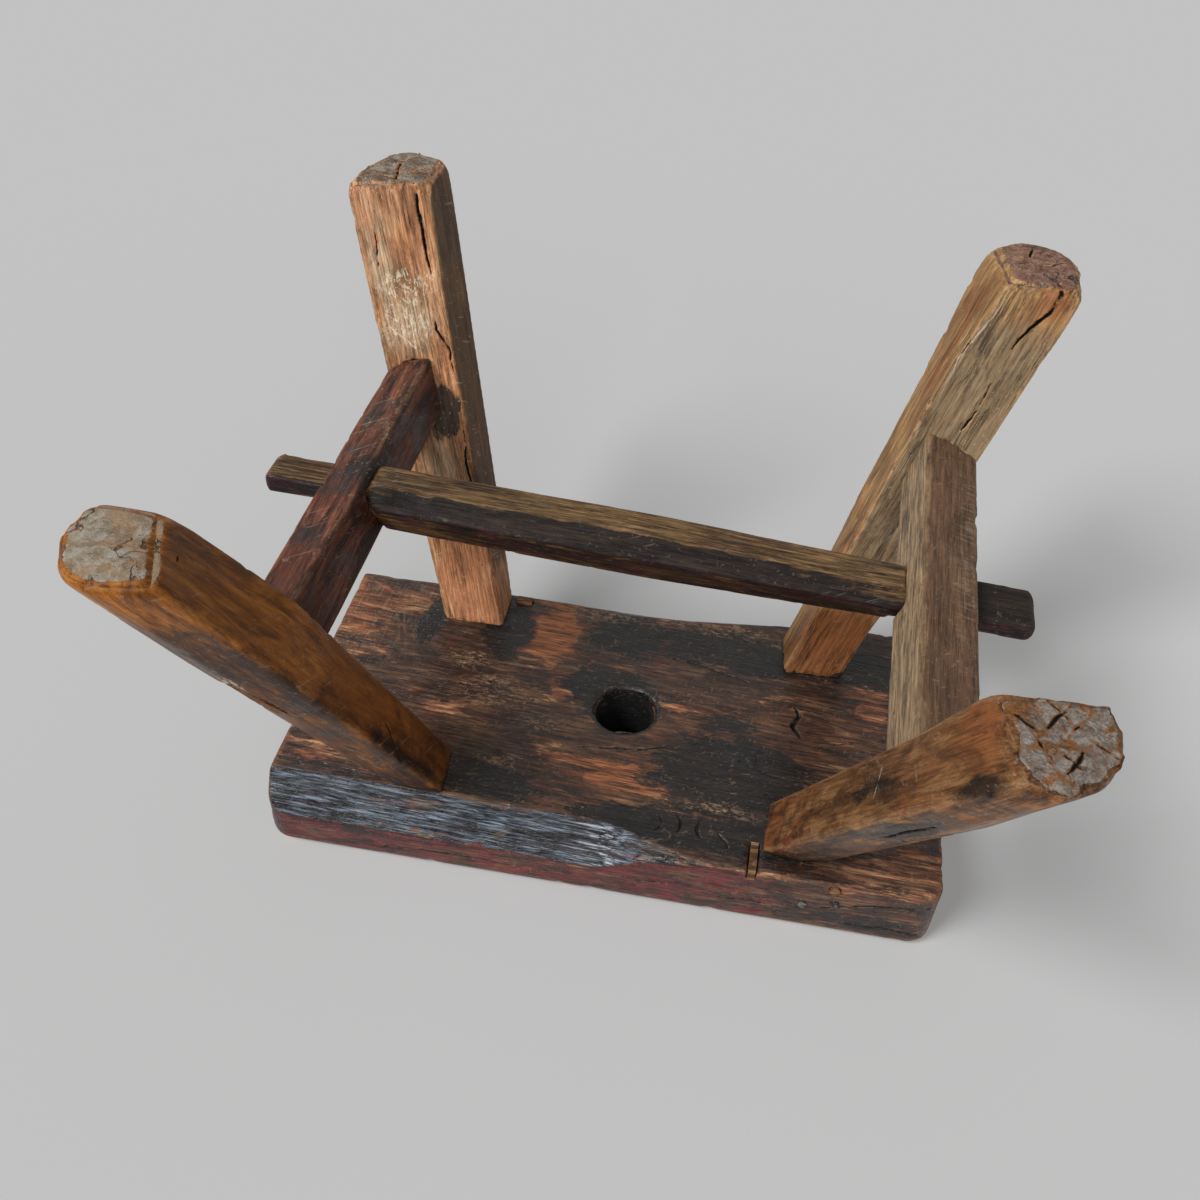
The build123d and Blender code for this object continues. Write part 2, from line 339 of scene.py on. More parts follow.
@dataclass(frozen=True)
class Value:
    """What a node puts out, with the usual signs for sums."""

    wires: "Wiring"
    socket: bpy.types.NodeSocket

    def __add__(self, other: object) -> "Value":
        """Adds a value or number."""
        return self.wires.math("ADD", self, other)

    def __sub__(self, other: object) -> "Value":
        """Subtracts a value or number."""
        return self.wires.math("SUBTRACT", self, other)

    def __rsub__(self, other: float) -> "Value":
        """Subtracts it from a number."""
        return self.wires.math("SUBTRACT", other, self)

    def __mul__(self, other: object) -> "Value":
        """Multiplies by a value or number."""
        return self.wires.math("MULTIPLY", self, other)


@dataclass(frozen=True)
class Wiring:
    """Puts nodes into a tree and links them. Noise and cells are given as cells in a metre."""

    tree: bpy.types.NodeTree

    def node(self, kind: str, **settings: object) -> bpy.types.Node:
        """Adds a node.

        Args:
            kind: Its kind.
            settings: What is set on it.

        Returns:
            The node.
        """
        made = self.tree.nodes.new(kind)
        for name, value in settings.items():
            setattr(made, name, value)
        return made

    def feed(self, socket: bpy.types.NodeSocket, value: object) -> None:
        """Links a value to a socket, or sets the socket's own value.

        Args:
            socket: The socket.
            value: A node's value, a number, a vector, a colour or its code, or None for nothing.
        """
        if isinstance(value, Value):
            self.tree.links.new(value.socket, socket)
        elif value is not None:
            value = tint(value) if isinstance(value, str) else value
            socket.default_value = (*value, 1.0) if socket.type == "RGBA" else value

    def run(self, kind: str, inputs: dict, output: int | str = 0, **settings: object) -> Value:
        """Adds a node and feeds it.

        Args:
            kind: The node's kind.
            inputs: What each input gets, by its name or number.
            output: Which output is given.
            settings: What is set on the node.

        Returns:
            The output.
        """
        made = self.node(kind, **settings)
        for key, value in inputs.items():
            self.feed(made.inputs[key], value)
        return Value(self, made.outputs[output])

    def math(self, kind: str, first: object, second: object = None, clamp: bool = False) -> Value:
        """Adds a sum of one or two values."""
        return self.run("ShaderNodeMath", {0: first, 1: second}, operation=kind, use_clamp=clamp)

    def vector(self, kind: str, first: object, second: object = None) -> Value:
        """Adds a sum of one or two vectors."""
        output = "Value" if kind == "LENGTH" else "Vector"
        return self.run("ShaderNodeVectorMath", {0: first, 1: second}, output, operation=kind)

    def mix(self, share: object, first: object, second: object, kind: str = "MIX") -> Value:
        """Mixes two colours."""
        inputs = {0: share, 6: first, 7: second}
        return self.run("ShaderNodeMix", inputs, 2, data_type="RGBA", blend_type=kind)

    def shade(self, colour: Value, value: Value) -> Value:
        """Multiplies a colour by a value."""
        grey = self.run("ShaderNodeCombineColor", {0: value, 1: value, 2: value})
        return self.mix(1.0, colour, grey, "MULTIPLY")

    def span(self, value: object, low: float, high: float, to_low: float = 0.0,
             to_high: float = 1.0) -> Value:
        """Rises smoothly between two values."""
        inputs = dict(enumerate((value, low, high, to_low, to_high)))
        return self.run("ShaderNodeMapRange", inputs, interpolation_type="SMOOTHSTEP")

    def stretch(self, place: Value, cells: float | Spot) -> Value:
        """Scales coordinates, evenly or by one number for each direction."""
        return self.vector("MULTIPLY", place, cells if isinstance(cells, tuple) else (cells,) * 3)

    def noise(self, place: Value, cells: float | Spot, detail: float = 4.0, rough: float = 0.6,
              bend: float = 0.0) -> Value:
        """Adds noise."""
        return self.run("ShaderNodeTexNoise", {
            "Vector": self.stretch(place, cells), "Scale": 1.0, "Detail": detail,
            "Roughness": rough, "Distortion": bend})

    def cells(self, place: Value, cells: float | Spot, feature: str = "F1") -> Value:
        """Adds the distance in a pattern of cells."""
        inputs = {"Vector": self.stretch(place, cells), "Scale": 1.0}
        return self.run("ShaderNodeTexVoronoi", inputs, "Distance", feature=feature)

    def painted(self, name: str, output: str = "Fac") -> Value:
        """Reads what a surface stores under a name."""
        return self.run("ShaderNodeAttribute", {}, output, attribute_name=name)

    def effect(self, effect: Effect, **values: object) -> list[Value]:
        """Places a shared effect.

        Args:
            effect: The effect.
            values: What its inputs get, with an underscore for a space.

        Returns:
            What it puts out, in order.
        """
        made = self.node("ShaderNodeGroup", node_tree=EFFECTS.get(effect))
        for name, value in values.items():
            self.feed(made.inputs[name.replace("_", " ")], value)
        return [Value(self, socket) for socket in made.outputs]

    def dress(self, inputs: dict[str, object], height: Value, strength: float,
              depth: float) -> None:
        """Feeds the material's shader and gives it relief.

        Args:
            inputs: What the shader's inputs get.
            height: The relief's pattern.
            strength: How strongly the relief shows.
            depth: How deep it is.
        """
        relief = {"Strength": strength, "Distance": depth * MM, "Height": height}
        shader = self.tree.nodes["Principled BSDF"]
        for name, value in {**inputs, "Normal": self.run("ShaderNodeBump", relief)}.items():
            self.feed(shader.inputs[name], value)


def new_material(name: str) -> tuple[bpy.types.Material, Wiring]:
    """Starts a material and gives it with its wiring."""
    material = bpy.data.materials.new(name)
    material.use_nodes = True
    return material, Wiring(material.node_tree)


@dataclass
class Effects:
    """Builds each shared effect once, as a group of shader nodes."""

    made: dict[Effect, bpy.types.NodeTree] = field(default_factory=dict)

    def get(self, effect: Effect) -> bpy.types.NodeTree:
        """Gives an effect's group and builds it if it isn't there yet.

        Args:
            effect: The effect.

        Returns:
            The group, with named sockets.
        """
        if effect not in self.made:
            name, takes, gives = effect.value
            tree = self.made[effect] = bpy.data.node_groups.new(name, "ShaderNodeTree")
            tree.interface.new_socket("Place", in_out="INPUT", socket_type="NodeSocketVector")
            for keys, way in ((takes, "INPUT"), (gives, "OUTPUT")):
                for key in keys:
                    tree.interface.new_socket(key, in_out=way, socket_type="NodeSocketFloat")
            w = Wiring(tree)
            source = w.node("NodeGroupInput").outputs[:1 + len(takes)]
            values = getattr(self, name)(w, *(Value(w, socket) for socket in source))
            for socket, value in zip(w.node("NodeGroupOutput").inputs, values):
                w.feed(socket, value)
        return self.made[effect]

    def old_grain(self, w: Wiring, place: Value, ring: Value, wander: Value) -> tuple[Value, ...]:
        """Rings, fibres, pores and thin dark lines along the grain.

        Args:
            w: The group's wiring.
            place: The coordinates along the grain.
            ring: A ring's width, in metres.
            wander: How far the rings wander.

        Returns:
            Tone, Band, Fibre, Pores, Lines and Height.
        """
        bend = w.noise(place, (5, 38, 38), 3, 0.55)
        radius = w.vector("LENGTH", w.vector("MULTIPLY", place, (0, 1, 1)))
        part = w.math("FRACT", w.math("DIVIDE", radius, ring) + bend * wander)
        band = w.span(part, 0.3, 0.94) * w.span(part, 1.0, 0.95)
        tone = w.span(w.noise(place, (20, 95, 95), 6, 0.68, 0.7), 0.3, 0.7)
        fibre = w.noise(place, (30, 470, 470), 4, 0.72, 0.2)
        fine = w.noise(place, (60, 900, 900), 2, 0.6)
        dash = w.noise(place, (80, 620, 620), 2, 0.6)
        pores = w.span(dash, 0.6, 0.64) * w.span(fibre, 0.62, 0.42)
        thin = w.math("ABSOLUTE", w.noise(place, (7, 230, 230), 4, 0.62, 0.25) - 0.5)
        here = w.noise(place, (30, 90, 90), 3, 0.6)
        lines = w.span(thin, 0.028, 0.01) * w.span(here, 0.46, 0.56)
        height = fibre * 0.8 + fine * 0.3 - pores * 0.45 - lines * 0.7 - band * 0.12
        return tone, band, fibre, pores, lines, height

    def ragged_patch(self, w: Wiring, place: Value, soft: Value, broken: Value,
                     edge: Value) -> tuple[Value]:
        """Breaks a soft patch up along the grain into a ragged one.

        Args:
            w: The group's wiring.
            place: The coordinates along the grain.
            soft: The soft patch.
            broken: How much it is broken up.
            edge: How soft its edge stays.

        Returns:
            Mask.
        """
        coarse = w.noise(place, (46, 110, 110), 9, 0.72, 0.5)
        streak = w.noise(place, (44, 480, 480), 5, 0.75)
        value = soft + (coarse * 0.78 + streak * 0.22 - 0.5) * broken
        return (w.span(value, 0.5 - edge, edge + 0.5) * w.span(soft, 0.0, 0.08),)

    def scuffs(self, w: Wiring, place: Value, amount: Value) -> tuple[Value]:
        """Thin scratches in three directions.

        Args:
            w: The group's wiring.
            place: The stool's coordinates.
            amount: How strong they are.

        Returns:
            Mask.
        """
        found = []
        for turn, cells in ((0.5, (20, 460, 460)), (-0.9, (460, 18, 460)), (1.9, (460, 460, 24))):
            inputs = {"Vector": place, "Axis": (0.4, 0.5, 0.77), "Angle": turn}
            turned = w.run("ShaderNodeVectorRotate", inputs, rotation_type="AXIS_ANGLE")
            line = w.span(w.noise(turned, cells, 2, 0.5, 0.1), 0.66, 0.69)
            found.append(line * w.span(w.noise(turned, (22, 25, 24), 3, 0.6), 0.44, 0.56))
        return (w.math("MAXIMUM", w.math("MAXIMUM", found[0], found[1]), found[2]) * amount,)

    def specks(self, w: Wiring, place: Value, amount: Value) -> tuple[Value]:
        """Small round specks of dirt or missing finish.

        Args:
            w: The group's wiring.
            place: The stool's coordinates.
            amount: How many there are.

        Returns:
            Mask.
        """
        limit = w.span(w.noise(place, 48, 4, 0.65) * amount, 0.4, 0.9, 0.0, 0.42)
        return (w.math("GREATER_THAN", limit, w.cells(place, 420)),)

    def end_grain(self, w: Wiring, place: Value) -> tuple[Value, ...]:
        """Weathered, cracked end grain.

        Args:
            w: The group's wiring.
            place: The stool's coordinates.

        Returns:
            Mottle, Rust, Crack and Height.
        """
        mottle = w.noise(place, 120, 8, 0.74, 0.5)
        shake = {"Vector": place, "Scale": 110.0, "Detail": 5.0}
        shake = w.vector("SUBTRACT", w.run("ShaderNodeTexNoise", shake, "Color"), (0.5, 0.5, 0.5))
        swayed = w.vector("ADD", place, w.vector("MULTIPLY", shake, (0.022, 0.022, 0.0)))
        edge = w.cells(swayed, (46, 70, 20), "DISTANCE_TO_EDGE")
        crack = w.span(edge, 0.04, 0.006) * w.span(w.noise(place, 38, 3, 0.6), 0.5, 0.62)
        height = mottle * 0.9 + w.noise(place, 900, 3, 0.7) * 0.35 - crack * 1.1
        return mottle, w.noise(place, 64, 6, 0.7, 0.4), crack, height

    def saw_marks(self, w: Wiring, place: Value, soft: Value) -> tuple[Value]:
        """Fine saw lines in two directions across the grain.

        Args:
            w: The group's wiring.
            place: The coordinates along the grain.
            soft: The soft patch where they are.

        Returns:
            Mask.
        """
        inputs = {"Vector": place, "Angle": 0.35}
        turned = w.run("ShaderNodeVectorRotate", inputs, rotation_type="Z_AXIS")
        line = w.math("MAXIMUM", w.span(w.noise(place, (420, 14, 14), 2, 0.55), 0.54, 0.57),
                      w.span(w.noise(turned, (460, 12, 12), 2, 0.55), 0.57, 0.6))
        return (line * w.span(w.noise(place, (90, 160, 160), 4, 0.6), 0.38, 0.56) * soft,)


EFFECTS = Effects()


@dataclass(frozen=True)
class WoodFinish:
    """Old wood under a worn coat: its colours, how much coat is left, and its relief."""

    name: str
    deep: str = "5a3a22"
    warm: str = "96683e"
    light: str = "b98d5f"
    amber: str = "9a5a2a"
    coat: str = "2e2622"
    coated: float = 0.3
    thinnest: float = 0.6
    seen_through: float = 0.25
    rubbed: str = "b08a62"
    rub: float = 0.6
    soot: str = "171312"
    red: str = "7c2626"
    pale: str = "b3a594"
    end: str = "857a6c"
    end_deep: str = "55483c"
    rust: str = "7d5634"
    rusty: float = 0.5
    grey: str = "8d8170"
    # sheen, sheen_deep and the highlight colour paint a sheen and highlight on the seat's bevel.
    sheen: str = "7d8088"
    sheen_deep: str = "2b2c30"
    painted_highlight: str = "c3c7cd"
    bright_red: str = "96292c"
    ring: float = 4.5
    banded: float = 0.35
    wander: float = 2.4
    toned: float = 1.0
    fibrous: float = 0.9
    lined: float = 0.7
    broken: float = 1.5
    crisp: float = 0.06
    gloss: float = 0.36
    shine: float = 0.28
    dull: float = 0.62
    stained: float = 0.45
    scuffed: float = 0.45
    speckled: float = 0.5
    relief: float = 0.55
    painted: bool = True

    def build(self) -> bpy.types.Material:
        """Wires the finish.

        Returns:
            The material.
        """
        material, w = new_material(self.name)
        own = w.run("ShaderNodeTexCoord", {}, "Object")
        place = w.painted("grain", "Vector") if self.painted else own
        tone, band, fibre, pores, lines, height = w.effect(
            Effect.GRAIN, Place=place, Ring_Width=self.ring * MM, Wander=self.wander)
        tone = w.span(tone, 0.0, 1.0, 0.5 - self.toned / 2, 0.5 + self.toned / 2)
        wood = w.mix(w.span(tone, 0.0, 0.5), self.deep, self.warm)
        wood = w.mix(w.span(tone, 0.45, 1.0), wood, self.light)
        wood = w.mix(band * self.banded, wood, self.deep)
        broad = w.span(w.noise(own, 17, 5, 0.65, 0.5), 0.45, 0.75, 0.0, 0.75)
        wood = w.mix(broad, wood, self.amber)
        if self.painted:
            wood = w.mix(self.ragged(w, place, Mask.AMBER, 1.2, 0.3) * 0.8, wood, self.amber)
            weathered = w.mix(w.span(fibre, 0.34, 0.58, 0.5, 1.0), self.deep, self.grey)
            wood = w.mix(self.ragged(w, place, Mask.GREY, 1.3, 0.35) * 0.85, wood, weathered)
        streak = w.span(fibre, 0.36, 0.64, 1 - 0.4 * self.fibrous, 1 + 0.22 * self.fibrous)
        wood = w.mix(pores * (0.8 * self.fibrous), w.shade(wood, streak), self.deep)
        soft = w.span(w.noise(own, (11, 30, 26), 5, 0.65, 0.6), 0.32, 0.68) * 0.6
        soft = soft + (self.coated - 0.3)
        if self.painted:
            for name, share in (("bare", 0.9), ("grey", 0.5), ("wear", 0.35)):
                soft = soft - w.painted(name) * share
        coat, = w.effect(
            Effect.RAGGED, Place=place, Soft=soft, Break=self.broken, Edge=self.crisp)
        thin = w.span(w.noise(own, (90, 170, 170), 6, 0.7), 0.3, 0.7, self.thinnest, 0.97)
        clear = w.span(w.noise(own, (19, 27, 27), 6, 0.7, 0.6), 0.42, 0.6, 0.25, 1.0)
        clear = clear * w.span(fibre, 0.35, 0.6, 0.45, 1.0) * self.seen_through
        colour = w.mix(coat * thin, wood, w.mix(clear, self.coat, wood))
        stain = w.noise(place, (15, 52, 52), 8, 0.72, 0.9)
        colour = w.mix(w.span(stain, 0.51, 0.63, 0.0, self.stained), colour, self.soot)
        rough = w.span(coat, 0.0, 1.0, self.dull, self.gloss)
        if self.painted:
            colour, rough, height = self.layers(w, place, own, colour, rough, height)
        hair = w.noise(place, (44, 1050, 1050), 3, 0.65)
        hair = w.span(hair, 0.41, 0.59, 1 - 0.42 * self.fibrous, 1 + 0.36 * self.fibrous)
        colour = w.mix(lines * self.lined, w.shade(colour, hair), self.soot)
        scuff, = w.effect(Effect.SCUFFS, Place=own, Amount=self.scuffed)
        speck, = w.effect(Effect.SPECKS, Place=own, Amount=self.speckled)
        colour = w.mix(speck * 0.5, w.mix(scuff * 0.6, colour, self.pale), self.pale)
        uneven = w.span(fibre, 0.3, 0.7, -0.05, 0.09)
        rough = w.math("ADD", rough + scuff * 0.2, uneven, clamp=True)
        inputs = {"Base Color": colour, "Roughness": rough, "Specular IOR Level": self.shine}
        w.dress(inputs, height, BUMP_STRENGTH, self.relief)
        return material

    def ragged(self, w: Wiring, place: Value, mask: Mask, broken: float, edge: float) -> Value:
        """Gives a painted patch with its edge broken up along the grain."""
        soft = w.painted(mask.value)
        return w.effect(Effect.RAGGED, Place=place, Soft=soft, Break=broken, Edge=edge)[0]

    def layers(self, w: Wiring, place: Value, own: Value, colour: Value, rough: Value,
               height: Value) -> tuple[Value, Value, Value]:
        """Adds rubbed edges, soot with painted shade, red, the bevel's painted sheen and highlight,
        pale dirt, saw marks, end grain and cracks, with the hole's painted shade.

        Args:
            w: The material's wiring.
            place: The coordinates along the grain.
            own: The stool's coordinates.
            colour: The colour so far.
            rough: The roughness so far.
            height: The relief so far.

        Returns:
            The new colour, roughness and relief.
        """
        wear, crack = w.painted("wear"), w.painted("crack")
        rub = w.span(wear * w.noise(own, 70, 5, 0.7), 0.28, 0.62, 0.0, self.rub)
        colour = w.mix(rub, colour, self.rubbed)
        # The soot mask paints dark dirt and, in places, painted shade.
        soot = self.ragged(w, place, Mask.SOOT, 1.7, 1.4 * self.crisp)
        colour = w.mix(soot * 0.9, colour, self.soot)
        red = self.ragged(w, place, Mask.RED, 1.9, self.crisp)
        # Red above 0.85 takes the second, brighter red; on the seat's bevel arris that is partly a
        # painted glint.
        paint = w.mix(w.span(w.painted("red"), 0.85, 1.2), self.red, self.bright_red)
        faded = w.span(w.noise(place, (50, 240, 240), 7, 0.78, 0.3), 0.44, 0.56, 0.25, 0.95)
        colour = w.mix(red * faded, colour, paint)
        # Painted sheen: blue-grey streaks over dark fibres, turning to a painted highlight where the
        # mask passes 1.
        sheen = self.ragged(w, place, Mask.SHEEN, 1.2, 0.1)
        torn = (w.noise(place, (26, 900, 900), 4, 0.72, 0.1) * 0.7
                + w.noise(place, (16, 120, 120), 5, 0.65, 0.4) * 0.3)
        bright = w.mix(w.span(w.painted("sheen"), 1.0, 1.5), self.sheen, self.painted_highlight)
        painted_sheen = w.mix(w.span(torn, 0.46, 0.62), self.sheen_deep, bright)
        colour = w.mix(sheen * 0.92, colour, painted_sheen)
        height = height + (torn - 0.5) * 2.0 * sheen
        pale = self.ragged(w, place, Mask.PALE, 2.2, 0.2)
        pale = pale * (w.span(w.noise(place, (210, 400, 400), 5, 0.78, 0.9), 0.51, 0.55) * 0.75)
        saw, = w.effect(Effect.SAW, Place=place, Soft=w.painted("saw"))
        colour = w.mix(saw * 0.42, w.mix(pale, colour, self.pale), self.pale)
        height = height - saw * 0.6
        mottle, rust, gap, uneven = w.effect(Effect.END, Place=own)
        ended = w.painted("end") + (mottle - 0.5) * 1.9
        ended = w.span(ended, 0.5, 0.62, 0.0, 0.96) * w.span(w.painted("end"), 0.0, 0.15)
        end = w.mix(w.span(mottle, 0.4, 0.6), self.end_deep, self.end)
        end = w.mix(w.span(rust + wear * 0.22, 0.5, 0.58, 0.0, self.rusty), end, self.rust)
        colour = w.mix(ended, colour, w.mix(gap * 0.8, end, self.soot))
        rough = rough - soot * 0.06 - sheen * 0.08 + pale * 0.3
        rough = w.math("ADD", rough, ended * 0.4, clamp=True)
        height = height + (uneven - 0.62) * 2.2 * ended
        colour = w.mix(w.span(w.painted("scratch"), 0.6, 1.0, 0.0, 0.7), colour, self.pale)
        colour = w.mix(w.span(crack, 0.0, 0.5, 0.0, 0.8) * ended, colour, self.rust)
        # This blackens the cracks and, on the seat, the painted shade of the hole's wall.
        split_and_shade = w.span(crack, 0.65, 0.95)
        rough = w.math("ADD", rough, split_and_shade * 0.4, clamp=True)
        return w.mix(split_and_shade, colour, SPLIT_AND_SHADE_BLACK), rough, height


@dataclass(frozen=True)
class IronFinish:
    """A small rusty iron head, rubbed bright in places."""

    name: str = "nail_iron"
    dark: str = "3b3a3a"
    bright: str = "8d8b87"
    rust: str = "5a3524"

    def build(self) -> bpy.types.Material:
        """Wires the finish.

        Returns:
            The material.
        """
        material, w = new_material(self.name)
        own = w.run("ShaderNodeTexCoord", {}, "Object")
        rubbed, rusty = w.noise(own, 420, 4, 0.6), w.noise(own, 300, 5, 0.7)
        colour = w.mix(w.span(rubbed, 0.4, 0.62), self.dark, self.bright)
        w.dress({"Base Color": w.mix(w.span(rusty, 0.5, 0.62, 0.0, 0.85), colour, self.rust),
                 "Metallic": w.span(rusty, 0.62, 0.5, 0.1, 0.9),
                 "Roughness": w.span(rubbed, 0.3, 0.7, 0.62, 0.35)}, rusty, 0.7, 0.3)
        return material


# ---- Pieces ----


@dataclass
class WornPiece:
    """One wooden piece: its solid's form, finely meshed, hewn, worn, cracked and painted."""

    node: str
    slot: str
    finish: WoodFinish
    seed: int
    voxel: float = 1.6
    wave: float = 1.1
    wave_size: float = 60.0
    ripple: float = 0.3
    chip: float = 1.3
    pith: tuple[float, float] = (30.0, 24.0)
    patches: tuple[Patch, ...] = ()
    facings: tuple[Facing, ...] = ()
    cracks: tuple[Crack, ...] = ()
    knots: tuple[Knot, ...] = ()
    arris: np.ndarray = field(init=False)
    split_and_shade: np.ndarray = field(init=False)
    scratched: np.ndarray = field(init=False)

    def build(self) -> bpy.types.Object:
        """Makes the piece in place of its node.

        Returns:
            The finished object.
        """
        mesh = self.fine_mesh()
        self.refine(mesh)
        skin = Surface(mesh)
        axes = self.grain_axes(skin.spots)
        self.shape(skin, axes)
        self.paint(skin, axes)
        made = bpy.data.objects.new(f"{self.node}_worn", mesh)
        bpy.context.scene.collection.objects.link(made)
        mesh.materials.clear()
        mesh.materials.append(self.finish.build())
        mesh.polygons.foreach_set("use_smooth", [True] * len(mesh.polygons))
        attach(made, BODY)
        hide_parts(self.node)
        return made

    def fine_mesh(self) -> bpy.types.Mesh:
        """Copies the node's mesh and divides it evenly.

        Returns:
            The new mesh.
        """
        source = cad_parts[self.node].data.copy()
        work = bmesh.new()
        work.from_mesh(source)
        bmesh.ops.remove_doubles(work, verts=work.verts, dist=1e-6)
        work.to_mesh(source)
        work.free()
        helper = bpy.data.objects.new("helper", source)
        bpy.context.scene.collection.objects.link(helper)
        remesh = helper.modifiers.new("even", "REMESH")
        remesh.mode = "VOXEL"
        remesh.voxel_size = self.voxel * MM
        shaped = helper.evaluated_get(bpy.context.evaluated_depsgraph_get())
        mesh = bpy.data.meshes.new_from_object(shaped)
        bpy.data.objects.remove(helper)
        bpy.data.meshes.remove(source)
        mesh.name = f"{self.node}_worn"
        return mesh

    def refine(self, mesh: bpy.types.Mesh) -> None:
        """Divides the mesh further where a crack runs.

        Args:
            mesh: The piece's mesh.
        """
        if not self.cracks:
            return
        spots = Surface(mesh).spots
        near = np.full(len(spots), False)
        for crack in self.cracks:
            near |= line_distance(spots, crack.line)[0] < crack.width + 2 * self.voxel
        work = bmesh.new()
        work.from_mesh(mesh)
        edges = [edge for edge in work.edges if all(near[end.index] for end in edge.verts)]
        bmesh.ops.subdivide_edges(work, edges=edges, cuts=2, use_grid_fill=True)
        work.to_mesh(mesh)
        work.free()

    def grain_axes(self, spots: np.ndarray) -> np.ndarray:
        """Finds the piece's length and two directions across it.

        Args:
            spots: The piece's points.

        Returns:
            One direction in each row.
        """
        _, _, ways = np.linalg.svd((spots - spots.mean(axis=0))[::7], full_matrices=False)
        along = ways[0] * np.sign(ways[0][np.abs(ways[0]).argmax()])
        steep = abs(along[2]) >= 0.7
        across = np.cross(along, (1, 0, 0)) if steep else np.cross((0, 0, 1), along)
        across /= np.linalg.norm(across)
        return np.array([along, across, np.cross(along, across)])

    def shape(self, skin: Surface, axes: np.ndarray) -> None:
        """Hews, wears and cracks the surface without leaving the node's box.

        Args:
            skin: The piece's surface.
            axes: The grain's directions.
        """
        skin.spots = skin.spread(skin.spots, 1)
        skin.write()
        self.arris = np.clip(skin.spread(skin.arrises(3), 1) / SHARP, 0, 1)
        skin.spots += ROUNDED * self.arris[:, None] * (skin.spread(skin.spots, 4) - skin.spots)
        skin.write()
        lengthwise, size = skin.spots @ axes.T, self.wave_size
        wave = layered(lengthwise, (size * 2.2, size, size), self.seed, 2)
        ripple = layered(lengthwise, (26, 3.4, 3.4), self.seed + 5, 2)
        chips = ease(layered(skin.spots, 13, self.seed + 9, 4), 0.58, 0.8)
        skin.press(self.wave * (wave - 0.5) + self.ripple * (ripple - 0.5)
                   + self.chip * self.arris * chips)
        self.detail(skin, axes)
        self.split_and_shade = self.unlit(skin)
        self.scratched = np.zeros(len(skin.spots))
        for index, crack in enumerate(self.cracks):
            self.carve(skin, crack, self.seed + 20 + index)
        skin.spots = np.clip(skin.spots, *(np.array(corner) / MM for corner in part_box(self.node)))
        skin.write()

    def detail(self, skin: Surface, axes: np.ndarray) -> None:
        """Adds relief of the piece's own; a plain piece has none."""

    def unlit(self, skin: Surface) -> np.ndarray:
        """Gives where the surface is painted black as shade, like a crack; nowhere on a plain piece.
        """
        return np.zeros(len(skin.spots))

    def everywhere(self, mask: Mask, skin: Surface) -> np.ndarray:
        """Gives what a mask has all over the piece; a plain piece has nothing."""
        return np.zeros(len(skin.spots))

    def end_share(self, skin: Surface, ways: np.ndarray, axes: np.ndarray) -> np.ndarray:
        """Gives how much of the end grain shows, from the ways that the surface faces."""
        return ease(np.abs(ways @ axes[0]), 0.72, 0.9)

    def carve(self, skin: Surface, crack: Crack, seed: int) -> None:
        """Cuts one crack into the surface and marks it.

        Args:
            skin: The piece's surface.
            crack: The crack.
            seed: Chooses how it wanders.
        """
        sway = np.stack([layered(skin.spots, 7, seed + part) for part in range(3)], axis=1) - 0.5
        distance, along = line_distance(skin.spots + sway * STRAY, crack.line)
        width = crack.width * (0.35 + 0.65 * np.sin(np.pi * np.clip(along, 0.04, 0.96)))
        skin.press(crack.depth * np.clip(1 - distance / width, 0, 1))
        marked = np.clip(1.6 - distance / width, 0, 1)
        if crack.depth < SCRATCH_DEPTH:
            self.scratched = np.maximum(self.scratched, marked)
        else:
            self.split_and_shade = np.maximum(self.split_and_shade, marked)

    def paint(self, skin: Surface, axes: np.ndarray) -> None:
        """Stores what the finish reads: the grain's coordinates and a mask for each effect.

        Args:
            skin: The piece's surface.
            axes: The grain's directions.
        """
        place = skin.spots @ axes.T
        middle = (place.max(axis=0) + place.min(axis=0)) / 2
        grain = place - middle
        for knot in self.knots:
            away = grain - (np.array(knot.middle) @ axes.T - middle)
            side = np.hypot(away[:, 1], away[:, 2])
            push = np.exp(-(away[:, 0] / knot.reach) ** 2 - side / (1.6 * knot.radius))
            grain[:, 1] -= knot.radius * push * np.sign(away[:, 1])
        grain[:, 1:] += self.pith
        grain[:, 0] += self.seed * 137.0
        skin.put("grain", grain * MM)
        ways = skin.spread(skin.normals, 2)
        for mask in Mask:
            skin.put(mask.value, self.marked(mask, skin, axes, ways) + self.everywhere(mask, skin))
        skin.put("wear", np.clip(skin.spread(self.arris, 1) * 1.2, 0, 1))
        # The crack mask also holds the hole wall's painted shade.
        skin.put("crack", self.split_and_shade)
        skin.put("scratch", self.scratched)
        skin.put("end", self.end_share(skin, ways, axes))

    def marked(self, mask: Mask, skin: Surface, axes: np.ndarray, ways: np.ndarray) -> np.ndarray:
        """Gives how strongly the piece's facings and patches mark each vertex.

        Args:
            mask: The effect.
            skin: The piece's surface.
            axes: The grain's directions.
            ways: Where the surface faces.

        Returns:
            The strongest mark at each vertex.
        """
        total, heights = np.zeros(len(skin.spots)), skin.spots[:, 2]
        for side in (side for side in self.facings if side.mask is mask):
            way = np.array(side.way) / np.linalg.norm(side.way)
            share = ease(ways @ way, 0.6, 0.85) * ease(heights, side.low - FADE, side.low + FADE)
            share = side.strength * share * ease(-heights, -side.high - FADE, FADE - side.high)
            total = np.maximum(total, share)
        for patch in (patch for patch in self.patches if patch.mask is mask):
            away = (skin.spots - np.array(patch.middle)) @ axes.T
            away /= (patch.long, patch.wide, patch.wide)
            total = np.maximum(total, patch.strength * np.exp(-(away ** 2).sum(axis=1)))
        return total


